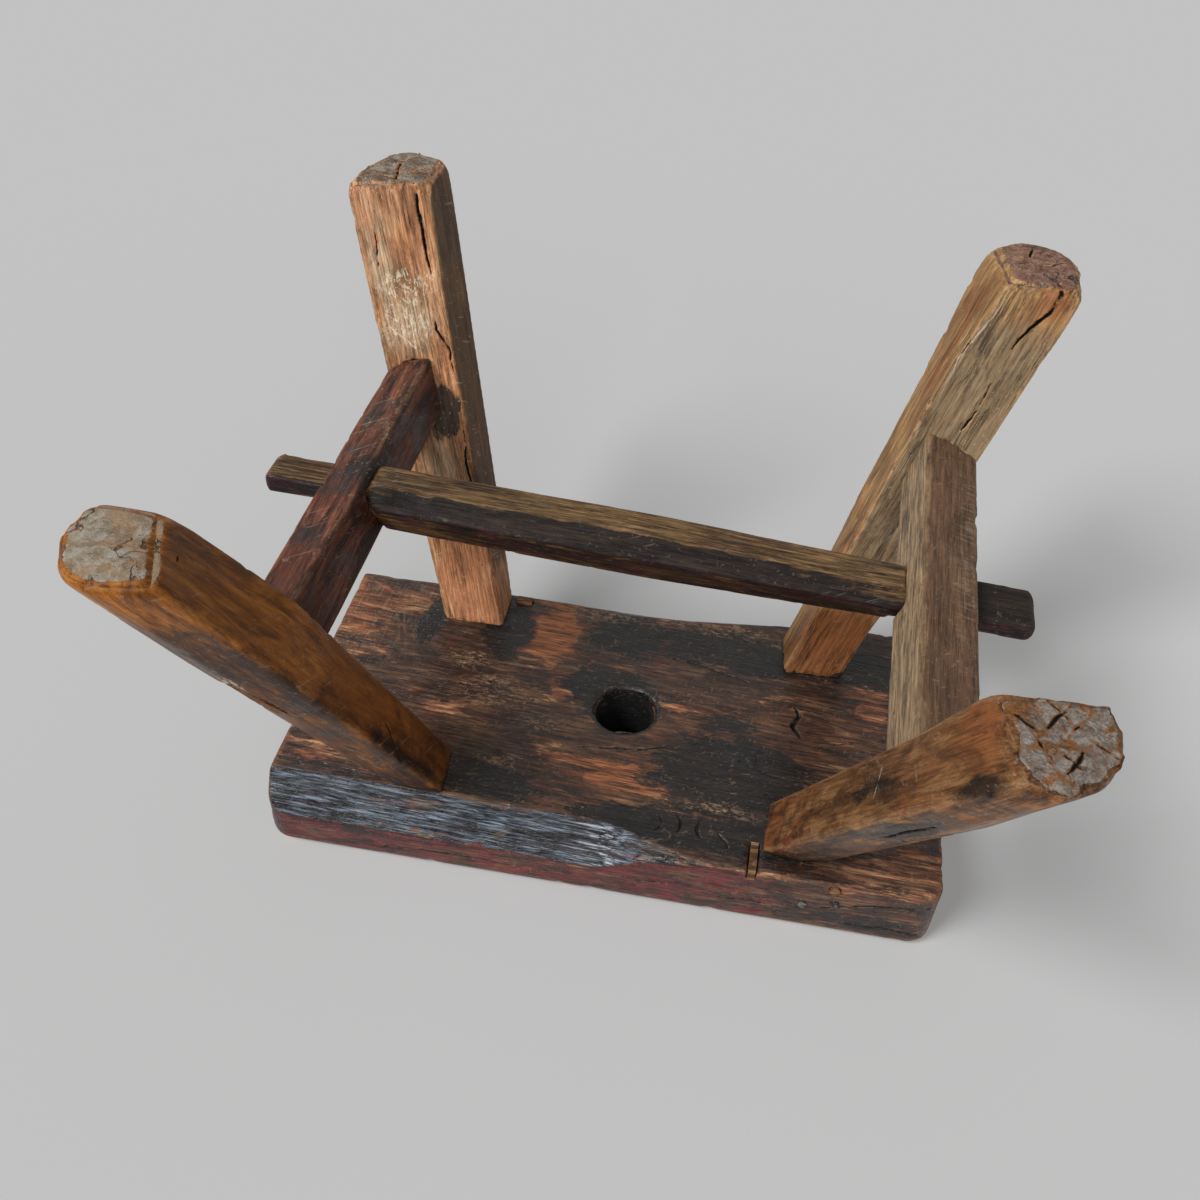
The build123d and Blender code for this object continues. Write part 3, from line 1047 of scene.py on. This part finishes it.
@dataclass
class SeatPlank(WornPiece):
    """The seat, with its hewn front bevel, its hole and its worn underside."""

    torn: float = 1.4
    dented: float = 0.8
    bevel_end: float = -45.0

    def bevel(self, skin: Surface) -> np.ndarray:
        """Gives where the bevels of the underside's long edges are."""
        slope = np.abs(skin.normals[:, 1]) * 0.7 - skin.normals[:, 2] * 0.7
        edge = ease(np.abs(skin.spots[:, 1] - HOLE[1]), 90, 95)
        return ease(slope, 0.86, 0.96) * edge * ease(-skin.spots[:, 2], -290, -284)

    def from_hole(self, skin: Surface) -> np.ndarray:
        """Gives the distance from the finger hole's axis."""
        return np.hypot(skin.spots[:, 0] - HOLE[0], skin.spots[:, 1] - HOLE[1])

    def detail(self, skin: Surface, axes: np.ndarray) -> None:
        """Tears fibres out of the bevels, dents the underside and keeps the hole's rim unworn.

        Args:
            skin: The seat's surface.
            axes: The grain's directions; not used here.
        """
        fibres = layered(skin.spots, (55, 4.2, 4.2), self.seed + 31, 3)
        skin.press(self.torn * self.bevel(skin) * ease(fibres, 0.3, 0.75))
        dents = layered(skin.spots, (19, 9, 9), self.seed + 41, 2)
        skin.press(self.dented * ease(dents, 0.66, 0.86))
        self.arris = self.arris * (0.2 + 0.8 * ease(self.from_hole(skin), 24, 32))

    def unlit(self, skin: Surface) -> np.ndarray:
        """Paints the hole's wall black as painted shade."""
        height = skin.spots[:, 2]
        wall = ease(-self.from_hole(skin), -23, -21)
        return wall * ease(height, 266, 269) * ease(-height, -311, -304)

    def everywhere(self, mask: Mask, skin: Surface) -> np.ndarray:
        """Gives the red front, the bevel's painted sheen and highlight, the painted shade in the
        finger hole and the top's bare middle.

        Args:
            mask: The effect.
            skin: The seat's surface.

        Returns:
            Its strength at each vertex.
        """
        spots, normals = skin.spots, skin.normals
        if mask is Mask.RED:
            front = ease(-normals[:, 1], 0.75, 0.95) * ease(-spots[:, 1], 70, 80)
            return front * (0.36 + 0.2 * ease(spots[:, 0], -150, -20))
        # Painted sheen on the front bevel; lit is a painted highlight near X = 4.
        if mask is Mask.SHEEN:
            start = self.bevel_end
            front = ease(-spots[:, 1], 60, 80) * ease(spots[:, 0], start, start + 40)
            blotch = ease(layered(spots, (60, 12, 12), self.seed + 61), 0.3, 0.62)
            lit = 0.3 * np.exp(-((spots[:, 0] - 4) / 26) ** 2)
            return (0.55 + 0.5 * blotch + lit) * self.bevel(skin) * front
        # Painted shade: the hole's wall and the inner edge of its rim are darkened.
        if mask is Mask.SOOT:
            return 1.5 * ease(-self.from_hole(skin), -24, -20.5)
        if mask is Mask.BARE:
            away = (spots[:, :2] - HOLE) / (130, 60)
            return ease(normals[:, 2], 0.7, 0.9) * np.exp(-away[:, 0] ** 2 - away[:, 1] ** 2) * 0.55
        return super().everywhere(mask, skin)


@dataclass
class SplayedLeg(WornPiece):
    """A leg, with a weathered foot and a darker head."""

    pitted: float = 1.4
    rim: float = 1.8
    rounds: int = 10
    swirl: float = 0.0

    def detail(self, skin: Surface, axes: np.ndarray) -> None:
        """Rounds and roughens the foot, and swells the faces where the grain swirls.

        Args:
            skin: The leg's surface.
            axes: The grain's directions.
        """
        near = ease(-skin.spots[:, 2], -20, -4)[:, None]
        skin.spots += near * (skin.spread(skin.spots, self.rounds) - skin.spots)
        if self.swirl:
            swirl = layered(skin.spots @ axes.T, (46, 17, 17), self.seed + 61, 2)
            skin.press(self.swirl * (swirl - 0.5))
        foot = ease(-skin.normals[:, 2], 0.5, 0.85) * ease(-skin.spots[:, 2], -12, -4)
        pits = layered(skin.spots, (9, 9, 9), self.seed + 51, 4)
        skin.press(self.pitted * foot * ease(pits, 0.25, 0.8))
        skin.press(self.rim * self.arris * ease(-skin.spots[:, 2], -9, -2))

    def everywhere(self, mask: Mask, skin: Surface) -> np.ndarray:
        """Darkens the head from the seat up with grime and painted contact shade, and pales the
        foot's rim.

        Args:
            mask: The effect.
            skin: The leg's surface.

        Returns:
            Its strength at each vertex.
        """
        if mask is Mask.PALE:
            return 0.35 * np.exp(-skin.spots[:, 2] / 9.0)
        # Grime and painted contact shade where the leg's head meets the seat.
        if mask is Mask.SOOT:
            return 0.62 * ease(skin.spots[:, 2], 252, 268)
        return super().everywhere(mask, skin)

    def end_share(self, skin: Surface, ways: np.ndarray, axes: np.ndarray) -> np.ndarray:
        """Gives the foot's end grain alone."""
        return ease(-ways[:, 2], 0.84, 0.95) * ease(-skin.spots[:, 2], -60, -20)


@dataclass
class Rail(WornPiece):
    """A rail between the legs or the side rails."""


SEAT_FINISH = WoodFinish(
    "seat_wood", deep="38231a", warm="84523a", light="be8c64", amber="9c603c", coat="1e1815",
    coated=0.98, thinnest=0.8, seen_through=0.36, rubbed="8a6448", rub=0.3, soot="131414",
    red="652628", pale="96785c", end="5d4a3b", end_deep="3a2c23", sheen="73808f",
    sheen_deep="15181d", painted_highlight="c0c8d2", ring=6.5, banded=0.4, toned=0.8, stained=0.3,
    broken=1.7, crisp=0.045, gloss=0.3, shine=0.4, dull=0.52, speckled=0.7, relief=0.95)
LEG_FINISH = WoodFinish(
    "leg_wood", deep="452c1c", warm="8c6238", light="b88c5c", amber="94582a", coat="35221a",
    coated=0.5, thinnest=0.3, rubbed="b8946c", rub=0.4, end="a69b8d", end_deep="735f4c",
    gloss=0.34, dull=0.56)
PALE_LEG_FINISH = replace(
    LEG_FINISH, name="leg_wood_pale", deep="6a4229", warm="bd8358", light="dcae84",
    amber="523f29", red="bb7b54", bright_red="bb7b54", coat="4c3022", coated=0.1, toned=0.6,
    fibrous=0.5, lined=0.35, end="9c8f80", end_deep="62564a", rusty=0.3, grey="c0a584",
    pale="dccbb0", dull=0.62, scuffed=0.5, relief=0.8)
SWIRL_LEG_FINISH = replace(
    LEG_FINISH, name="leg_wood_grey", deep="5a3d25", warm="a17a4c", light="cda674",
    amber="8e5228", coated=0.25, banded=0.3, toned=0.45, fibrous=0.45, lined=0.6, end="8f6f5e",
    end_deep="6b4a3d", rust="5a4034", rusty=0.3, grey="7d6b52", scuffed=0.4)
AMBER_LEG_FINISH = replace(
    LEG_FINISH, name="leg_wood_amber", deep="3a2211", warm="94581f", light="bd7c36",
    amber="703d12", coat="22140d", coated=0.44, toned=0.6, fibrous=0.2, lined=0.12, banded=0.1,
    broken=1.3, crisp=0.3, end="9c968a", end_deep="84745f", rust="8c6845", rusty=0.6, rub=0.15,
    gloss=0.32, shine=0.14, dull=0.4, scuffed=0.3, speckled=0.3, relief=0.35)
BROWN_LEG_FINISH = replace(
    LEG_FINISH, name="leg_wood_brown", deep="38210f", warm="765030", light="9b744a",
    amber="8a5430", coat="231711", coated=0.62, toned=0.7, fibrous=0.35, lined=0.3, banded=0.2,
    crisp=0.2, red="6b3026", end="8c8680", end_deep="6a5b4e", rust="77502f", rusty=1.0,
    rub=0.25, shine=0.12, dull=0.46, scuffed=0.3, speckled=0.3, relief=0.4)
PLAIN_RAIL_FINISH = WoodFinish(
    "side_rail_wood_plain", deep="3a291c", warm="6b4f3a", light="7d5f48", amber="6b4632",
    coat="33261f", coated=0.35, thinnest=0.35, rubbed="97805f", rub=0.4, pale="b8a68e",
    end="5c4a3d", end_deep="35291f", grey="a58b6c", red="5f2c26", toned=0.5, fibrous=0.4,
    lined=0.4, crisp=0.2, scuffed=0.3, speckled=0.2)
RAIL_FINISH = WoodFinish(
    "side_rail_wood", deep="2c1913", warm="5e3424", light="7a4b36", amber="66301f",
    coat="241a18", coated=0.45, thinnest=0.55, rubbed="8a6a52", rub=0.35, pale="b09a84",
    end="5c4a3d", end_deep="35291f", fibrous=0.5, lined=0.4, crisp=0.2, speckled=0.3)
LONG_FINISH = WoodFinish(
    "long_rail_wood", deep="2f2119", warm="684829", light="866640", amber="73492a",
    coat="241f1e", coated=0.6, rubbed="97785a", rub=0.35, red="3f2027", pale="aea294",
    end="463c34", end_deep="2b231e", soot="161416", stained=0.3, grey="6f5b42", shine=0.16,
    crisp=0.08, scuffed=0.2, speckled=0.12)
PALE_FINISH = WoodFinish(
    "pale_wood", deep="54381f", warm="8a6342", light="a9835a", amber="82552f", coat="33261e",
    coated=0.25, painted=False, relief=0.3)


def seat() -> SeatPlank:
    """Describes the seat plank and its marks.

    Returns:
        The seat.
    """
    u = UNDERSIDE
    return SeatPlank(
        "seat", "seat_wood", SEAT_FINISH, 3, voxel=1.8, wave_size=80, pith=(12.0, 70.0),
        knots=(Knot((-109, 20, u)),),
        patches=patches({
            Mask.BARE: (
                (205, 55, u, 40, 40, 1.0), (172, 74, u, 26, 24, 0.85), (66, 72, u, 19, 36, 1.0),
                (56, 22, u, 16, 20, 0.6), (14, -42, u, 42, 6, 1.0), (-12, -55, u, 44, 7, 1.0),
                (66, -36, u, 30, 8, 0.5), (-30, 16, u, 22, 5, 0.7), (-34, 80, u, 20, 6, 0.65),
                (-160, 36, u, 15, 26, 0.85), (-100, 34, u, 20, 22, 0.2), (124, 0, u, 50, 36, 0.4),
                (-188, -86, u, 22, 17, 1.1), (-160, -88, u, 22, 12, 0.7),
                (190, -70, u, 34, 24, 0.7)),
            Mask.AMBER: (
                (66, 70, u, 22, 44, 1.0), (0, -48, u, 56, 18, 1.0), (-104, 26, u, 30, 34, 0.5)),
            Mask.SOOT: (
                (154, 62, u, 9, 26, 1.1), (98, 64, u, 20, 30, 1.15), (18, 22, u, 38, 30, 0.95),
                (14, 78, u, 34, 26, 0.95), (-66, 78, u, 80, 24, 0.95), (-70, -40, u, 62, 42, 1.1),
                (-50, -82, u, 84, 14, 1.15), (-66, 8, u, 34, 14, 0.7),
                (60, -105, 290, 200, 14, 0.46), (96, -68, u, 54, 15, 1.1),
                (-150, 80, u, 44, 24, 0.9), (-130, -60, u, 40, 30, 1.0),
                (40, -98, 270, 150, 7, 0.7), (140, -105, 288, 90, 6, 1.0),
                (-160, -105, 296, 50, 12, 0.75)),
            Mask.SAW: ((205, 60, u, 44, 50, 1.0), (-188, -86, u, 22, 18, 0.7)),
            # A thin line of red paint along the bevel's arris, strong enough to take the bright red,
            # which is partly a painted glint.
            Mask.RED: ((-4, -99, 276, 46, 3, 1.2),),
            Mask.PALE: (
                (118, 31, u, 20, 12, 0.8), (92, 8, u, 34, 20, 0.9), (60, -14, u, 20, 14, 0.7),
                (77, -52, u, 24, 9, 0.7), (40, 95, u, 40, 10, 0.8), (-50, 98, u, 70, 10, 0.8),
                (-66, -62, u, 60, 8, 0.6)),
        }),
        cracks=cracks(
            (2.2, 5.0, (-107, 35, u), (-110, 27, u), (-106, 18, u), (-111, 8, u)),
            (0.9, 1.6, *arc((-109, 20, u), 62, 235, 70, 0.8)),
            (0.6, 0.9, *arc((-134, 24, u), 22, 20, 150, 0.7)),
            (0.6, 0.9, *arc((-134, 24, u), 24, 210, 110, 0.7)),
            (0.9, 2.0, (5, 66, u), (-40, 60, u), (-88, 47, u)),
            (0.9, 2.0, (35, -30, u), (-8, -24, u), (-47, -12, u)),
            (0.9, 2.0, *arc((-24, -80, u), 7, 110, 130, 1.0)),
            (1.2, 2.6, (-40, -70, u), (-43, -76, u), (-41, -86, u)),
            (1.1, 2.4, *arc((-62, -78, u), 9, -50, 110, 1.1)),
            (0.9, 2.0, (-66, -80, u), (-72, -86, u), (-74, -92, u)),
            (1.3, 3.0, (-134, -105, 288), (-165, -105, 278), (-204, -103, 272)),
            (0.9, 1.8, (-60, -105, 296), (-96, -105, 293), (-130, -105, 297)),
            (0.9, 1.5, (140, -105, 300), (90, -105, 297), (40, -105, 299)),
            (0.9, 1.8, (-150, -105, 300), (-176, -105, 298), (-206, -104, 301))))


def legs() -> list[SplayedLeg]:
    """Describes the four legs and their marks.

    Returns:
        The legs, back right first.
    """
    front, inner_right, inner_left = (0, -1, 0), (-1, 0, 0), (1, 0, 0)
    back_right = SplayedLeg(
        "leg_back_right", "leg_wood", PALE_LEG_FINISH, 11,
        facings=(
            Facing(Mask.BARE, front, 1.2, high=120), Facing(Mask.BARE, front, 0.9, low=150),
            # The dark olive on the faces that look to -X is partly painted shade on the leg's shaded
            # side.
            Facing(Mask.AMBER, inner_right, 1.3, high=230)),
        patches=patches({
            Mask.RED: ((128, 76, 238, 50, 26, 1.0), (218, 174, 16, 46, 14, 0.6)),
            Mask.PALE: ((188, 157, 58, 12, 22, 1.1), (184, 147, 80, 14, 22, 0.9)),
            # Painted shadow: the side rail's shadow across the leg's near face.
            Mask.SOOT: ((158, 122, 128, 22, 14, 1.2),),
            Mask.GREY: (
                (208, 163, 38, 44, 8, 1.0), (184, 147, 78, 24, 22, 0.8),
                (153, 110, 166, 40, 14, 0.75)),
            Mask.AMBER: ((196, 158, 50, 16, 14, 0.6),),
        }),
        cracks=cracks(
            (1.4, 4.0, (189, 190, 0), (185, 182, 10), (180, 175, 25), (176, 169, 40),
             (172, 164, 50)),
            (1.1, 2.5, (168, 154, 70), (166, 149, 81), (156, 144, 94), (152, 136, 110)),
            (0.8, 1.6, (213, 176, 10), (211, 170, 22), (206, 160, 44), (201, 147, 72)),
            (1.2, 2.6, (143, 123, 140), (139, 114, 160), (130, 100, 190)),
            (0.9, 2.0, (138, 104, 165), (128, 90, 205), (122, 84, 225)),
            (1.6, 3.5, (206, 224, 0), (204, 205, 0), (201, 190, 0)),
            (1.2, 2.5, (186, 214, 0), (198, 203, 0), (214, 200, 0)),
            (1.2, 2.5, (222, 205, 0), (212, 196, 0), (196, 190, 0)),
            (0.8, 0.2, (204, 146, 76), (186, 143, 88), (166, 138, 100))))
    back_left = SplayedLeg(
        "leg_back_left", "leg_wood", SWIRL_LEG_FINISH, 23, swirl=2.6, rounds=16,
        facings=(
            Facing(Mask.BARE, inner_left, 1.3, high=200), Facing(Mask.BARE, front, 0.5, high=170),
            Facing(Mask.GREY, front, 0.8, low=22, high=190),
            Facing(Mask.AMBER, front, 0.9, low=215)),
        patches=patches({
            Mask.AMBER: (
                (-120, 72, 245, 34, 30, 1.0), (-166, 162, 50, 70, 5, 0.9),
                (-218, 158, 8, 16, 12, 0.9)),
            Mask.SOOT: (
                (-138, 66, 242, 30, 8, 0.85), (-211, 172, 0, 14, 9, 1.3),
                (-228, 176, 2, 8, 8, 1.1)),
        }),
        cracks=cracks(
            (1.2, 3.0, (-200, 211, 0), (-208, 212, 0), (-204, 198, 0), (-197, 195, 0)),
            (1.5, 3.6, (-212, 176, 0), (-220, 167, 0), (-221, 158, 2), (-216, 153, 13),
             (-207, 150, 24), (-199, 146, 36)),
            (0.8, 0.4, (-190, 160, 5), (-185, 155, 19), (-177, 150, 33), (-170, 146, 46),
             (-162, 135, 74)),
            (0.7, 1.6, (-187, 161, 7), (-182, 155, 22), (-174, 149, 38), (-166, 143, 54)),
            (0.9, 2.0, (-193, 139, 55), (-185, 131, 80), (-176, 124, 96)),
            (0.9, 1.6, (-228, 196, 0), (-216, 190, 0), (-206, 184, 0))))
    front_right = SplayedLeg(
        "leg_front_right", "leg_wood", AMBER_LEG_FINISH, 37, rounds=34, wave=1.8,
        facings=(
            Facing(Mask.AMBER, inner_right, 0.7, low=110),
            Facing(Mask.BARE, inner_right, 0.9, high=110), Facing(Mask.SOOT, front, 0.66, low=30)),
        patches=patches({
            Mask.AMBER: ((118, -78, 230, 34, 30, 1.1),),
            Mask.SOOT: (
                (178, -176, 84, 44, 13, 1.0), (156, -160, 104, 90, 7, 1.2),
                (126, -108, 205, 60, 8, 1.1)),
            Mask.BARE: ((200, -205, 10, 26, 22, 1.0), (176, -154, 46, 60, 20, 0.8)),
            Mask.PALE: ((180, -167, 96, 10, 6, 1.4),),
        }),
        cracks=cracks(
            (2.0, 4.5, (184, -172, 88), (178, -164, 104), (170, -157, 119), (163, -150, 134)),
            (1.3, 2.4, (130, -103, 181), (127, -104, 192), (122, -109, 208)),
            (0.9, 1.8, (183, -190, 4), (184, -178, 10), (190, -170, 12))))
    front_left = SplayedLeg(
        "leg_front_left", "leg_wood", BROWN_LEG_FINISH, 41, rounds=24,
        facings=(
            Facing(Mask.BARE, inner_left, 0.5, high=190), Facing(Mask.SOOT, front, 0.5, low=60)),
        patches=patches({
            Mask.SOOT: (
                (-150, -182, 106, 40, 9, 1.2), (-134, -150, 118, 44, 7, 0.8),
                (-160, -219, 26, 24, 6, 1.0)),
            Mask.RED: ((-108, -110, 225, 34, 9, 0.62),),
            Mask.AMBER: ((-100, -80, 248, 26, 24, 1.0), (-160, -196, 16, 24, 18, 1.0)),
        }),
        cracks=cracks(
            (1.1, 1.8, (-168, -196, 0), (-175, -208, 0), (-181, -223, 0), (-190, -240, 0)),
            (1.1, 1.8, (-182, -190, 0), (-190, -199, 0), (-198, -207, 0), (-212, -219, 0)),
            (1.0, 1.6, (-160, -196, 0), (-169, -200, 0), (-181, -212, 0), (-196, -228, 0)),
            (1.1, 1.8, (-196, -184, 0), (-185, -199, 0), (-178, -209, 0), (-170, -222, 0)),
            (1.1, 1.8, (-206, -184, 0), (-194, -201, 0), (-187, -211, 0), (-176, -228, 0)),
            (1.0, 1.6, (-206, -200, 0), (-195, -214, 0), (-189, -223, 0), (-180, -236, 0)),
            (1.2, 2.4, (-143, -167, 132), (-150, -182, 106), (-156, -194, 85)),
            (0.9, 0.2, (-131, -158, 121), (-133, -148, 117), (-134, -140, 113)),
            (0.9, 0.2, (-134, -160, 114), (-136, -150, 110), (-137, -141, 107)),
            (0.8, 0.2, (-128, -155, 128), (-129, -146, 124), (-130, -139, 121))))
    return [back_right, back_left, front_right, front_left]


def rails() -> list[Rail]:
    """Describes the three rails and their marks.

    Returns:
        The rails, the right one first.
    """
    below, front, inner_left = (0, 0, -1), (0, -1, 0), (1, 0, 0)
    right = Rail(
        "side_rail_right", "side_rail_wood", RAIL_FINISH, 53,
        patches=patches({
            Mask.PALE: ((178, 60, 99, 60, 16, 0.4),),
            # Grime and painted contact shade where the long rail joins this rail.
            Mask.SOOT: ((172, 14, 106, 22, 20, 0.9),),
        }))
    left = Rail(
        "side_rail_left", "side_rail_wood", PLAIN_RAIL_FINISH, 61,
        facings=(
            Facing(Mask.GREY, inner_left, 0.85), Facing(Mask.BARE, below, 0.3)),
        patches=patches({
            Mask.SAW: ((-184, 20, 102, 120, 8, 0.5),),
            Mask.RED: ((-158, -10, 101, 110, 4, 1.0),),
        }))
    long_rail = Rail(
        "long_rail", "long_rail_wood", LONG_FINISH, 71,
        facings=(
            Facing(Mask.GREY, (0, 0.2, -1), 0.55), Facing(Mask.BARE, (0, 0.2, -1), 0.5),
            Facing(Mask.SOOT, (0, -0.9, -0.44), 0.95), Facing(Mask.RED, front, 0.45)),
        patches=patches({
            # Grime and painted contact shade at the rail's ends, where it passes into the side
            # rails.
            Mask.SOOT: ((-215, 4, 120, 36, 30, 1.2), (222, 4, 120, 16, 24, 0.7)),
        }))
    return [right, left, long_rail]


@dataclass(frozen=True)
class SmallPieces:
    """The wedges, slips, peg and nails, which keep their solids' form."""

    pale: tuple[str, ...] = (
        "wedge_front_left", "wedge_front_right", "wedge_back_left", "wedge_back_right",
        "shim_front_left", "shim_back_right", "edge_peg")
    iron: tuple[str, ...] = ("edge_nails",)

    def build(self) -> dict[str, bpy.types.Material]:
        """Dresses each node.

        Returns:
            Each node's material.
        """
        finishes = {PALE_FINISH.build(): self.pale, IronFinish().build(): self.iron}
        made = {name: material for material, names in finishes.items() for name in names}
        for name, material in made.items():
            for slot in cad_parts[name].material_slots:
                slot.material = material
        return made


# ---- Studio ----


@dataclass(frozen=True)
class Studio:
    """The plain pale room: two floors, lamps, sky and the camera."""

    pale: str = "c2c2c2"
    sky: float = 0.25
    lamp: float = 2.9
    lamp_size: float = 24.0
    fill: float = 0.9
    fill_size: float = 36.0
    from_camera: Spot = (0.1, 0.82, 0.52)
    from_below: Spot = (-0.62, 0.5, 0.85)
    from_above: Spot = (0.4, 0.3, -0.86)
    shade: float = 0.78
    gap: float = 0.8
    floor_radius: float = 1600.0
    fade: tuple[float, float] = (0.7, 1.4)
    slant: tuple[float, float] = (0.78, 0.86)
    hole_shadow_radii: tuple[float, float] = (0.034, 0.03)
    pad_radius: float = 21.0
    pad_gap: float = 0.3
    place: Spot = (-51.32, -550.309, -353.33)
    yaw: float = -0.0961
    pitch: float = 0.7444
    roll: float = -0.0868
    focal_px: float = 1243.35
    middle_px: tuple[float, float] = (640.0, 600.0)
    picture_px: float = 1200.0
    sensor: float = 36.0

    def build(self) -> None:
        """Makes the whole room."""
        self.world()
        self.sun("lamp_below", self.from_below, self.lamp, self.lamp_size)
        self.sun("lamp_above", self.from_above, self.lamp, self.lamp_size).visible_glossy = False
        self.sun("lamp_camera", self.from_camera, self.fill, self.fill_size)
        self.floor("floor_seat", STOOL_TOP + self.gap, self.from_below, True)
        self.floor("floor_feet", -self.gap, self.from_above, False)
        self.pad()
        self.camera()
        bpy.context.scene.view_settings.view_transform = "Standard"

    def world(self) -> None:
        """Makes the sky: pale to the camera and in reflections, soft light for all else."""
        world = bpy.context.scene.world = bpy.data.worlds.new("room")
        world.use_nodes = True
        w = Wiring(world.node_tree)
        seen, through, glossy = (w.run("ShaderNodeLightPath", {}, f"Is {kind} Ray")
                                 for kind in ("Camera", "Transmission", "Glossy"))
        seen = w.math("MAXIMUM", w.math("MAXIMUM", seen, through), glossy)
        sky = world.node_tree.nodes["Background"]
        w.feed(sky.inputs["Color"], w.mix(seen, (self.sky,) * 3, self.pale))
        w.feed(sky.inputs["Strength"], 1.0)

    def sun(self, name: str, way: Spot, strength: float, size: float) -> bpy.types.Object:
        """Hangs a large soft lamp.

        Args:
            name: The lamp's name.
            way: The way that it shines.
            strength: Its strength.
            size: Its size, in degrees.

        Returns:
            The lamp.
        """
        light = bpy.data.lights.new(name, "SUN")
        light.energy, light.angle = strength, math.radians(size)
        lamp = bpy.data.objects.new(name, light)
        lamp.rotation_mode = "QUATERNION"
        lamp.rotation_quaternion = Vector(way).to_track_quat("-Z", "Y")
        bpy.context.scene.collection.objects.link(lamp)
        return lamp

    def disc(self, name: str, radius: float, sides: int, place: Spot) -> bpy.types.Object:
        """Lays a flat disc.

        Args:
            name: The disc's name.
            radius: Its radius.
            sides: How many sides it has.
            place: Its middle.

        Returns:
            The disc.
        """
        work = bmesh.new()
        bmesh.ops.create_circle(work, cap_ends=True, segments=sides, radius=radius * MM)
        mesh = bpy.data.meshes.new(name)
        work.to_mesh(mesh)
        work.free()
        made = bpy.data.objects.new(name, mesh)
        made.location = Vector(place) * MM
        bpy.context.scene.collection.objects.link(made)
        return made

    def floor(self, name: str, height: float, way: Spot, faces_down: bool) -> None:
        """Lays a round floor whose lit colour is the sky's, and which fades out at its rim.

        Args:
            name: The floor's name.
            height: Where it lies.
            way: The way of the lamp that lights it.
            faces_down: True if it is seen from below.
        """
        plane = self.disc(name, self.floor_radius, 96, (0, 0, height))
        if faces_down != (plane.data.polygons[0].normal.z < 0):
            plane.data.flip_normals()
        for ray in ("diffuse", "glossy", "transmission", "shadow", "volume_scatter"):
            setattr(plane, f"visible_{ray}", False)
        plane.data.materials.append(self.floor_finish(name, way))

    def pad(self) -> None:
        """Lays a dark unseen disc on the finger hole's far end, so that the hole stays dark."""
        disc = self.disc("hole_pad", self.pad_radius, 48, (*HOLE, STOOL_TOP + self.pad_gap))
        disc.visible_camera = False
        material, w = new_material("hole_pad")
        w.feed(w.tree.nodes["Principled BSDF"].inputs["Base Color"], DARK)
        disc.data.materials.append(material)

    def floor_finish(self, name: str, way: Spot) -> bpy.types.Material:
        """Makes a floor's plain matt finish, with a painted shadow under the finger hole.

        Args:
            name: The finish's name.
            way: The way of the lamp that lights the floor.

        Returns:
            The material.
        """
        upper = way[2] > 0
        level = self.sky + self.lamp * abs(Vector(way).normalized().z) / math.pi
        if upper:
            level += self.fill * Vector(self.from_camera).normalized().z / math.pi
        material, w = new_material(name)
        w.tree.nodes.remove(w.tree.nodes["Principled BSDF"])
        matt = tuple(part / level for part in tint(self.pale))
        lit = self.blend(w, self.shade, w.run("ShaderNodeEmission", {"Color": self.pale}),
                         w.run("ShaderNodeBsdfDiffuse", {"Color": matt}))
        away = w.vector("LENGTH", w.run("ShaderNodeTexCoord", {}, "Object"))
        behind = w.run("ShaderNodeNewGeometry", {}, "Backfacing")
        hidden = w.math("MAXIMUM", w.span(away, *self.fade), behind)
        if upper:
            slant = w.span(w.run("ShaderNodeLayerWeight", {}, "Facing"), *self.slant)
            hidden = w.math("MAXIMUM", hidden, slant)
        # Painted shadow: the floor seen through the finger hole is painted near black.
        dark = w.run("ShaderNodeBsdfDiffuse", {"Color": HOLE_SHADOW_BLACK})
        painted_hole_shadow = w.span(away, *self.hole_shadow_radii, 0.0, float(upper))
        both = self.blend(w, hidden, self.blend(w, painted_hole_shadow, lit, dark),
                          w.run("ShaderNodeBsdfTransparent", {}))
        w.feed(w.tree.nodes["Material Output"].inputs["Surface"], both)
        return material

    def blend(self, w: Wiring, share: object, first: Value, second: Value) -> Value:
        """Mixes two shaders."""
        return w.run("ShaderNodeMixShader", {0: share, 1: first, 2: second})

    def camera(self) -> None:
        """Puts the camera where the photographer stood, turned with the stool onto its feet."""
        cos, sin = math.cos, math.sin
        flat = cos(self.pitch)
        ahead = Vector((sin(self.yaw) * flat, cos(self.yaw) * flat, -sin(self.pitch)))
        level = Vector((cos(self.yaw), -sin(self.yaw), 0))
        down = ahead.cross(level)
        right = cos(self.roll) * level + sin(self.roll) * down
        lower = -sin(self.roll) * level + cos(self.roll) * down
        turn = Matrix(((-1, 0, 0), (0, 1, 0), (0, 0, -1)))
        data = bpy.data.cameras.new("camera")
        data.sensor_width = self.sensor
        data.lens = self.sensor * self.focal_px / self.picture_px
        data.shift_x = (self.picture_px / 2 - self.middle_px[0]) / self.picture_px
        data.shift_y = (self.middle_px[1] - self.picture_px / 2) / self.picture_px
        camera = bpy.data.objects.new("camera", data)
        place = Matrix((turn @ right, turn @ -lower, turn @ -ahead)).transposed().to_4x4()
        place.translation = Vector(self.place) * MM
        camera.matrix_world = place
        bpy.context.scene.collection.objects.link(camera)
        bpy.context.scene.camera = camera


def main() -> None:
    """Builds the stool's pieces and the studio, and reports each."""
    logging.basicConfig(level=logging.INFO, format="%(name)s %(message)s")
    for piece in (seat(), *legs(), *rails()):
        made = piece.build()
        LOG.info("%s: %d vertices", made.name, len(made.data.vertices))
    for name, material in SmallPieces().build().items():
        LOG.info("%s: %s", name, material.name)
    Studio().build()
    LOG.info("studio: ready")


if __name__ == "__main__":
    main()
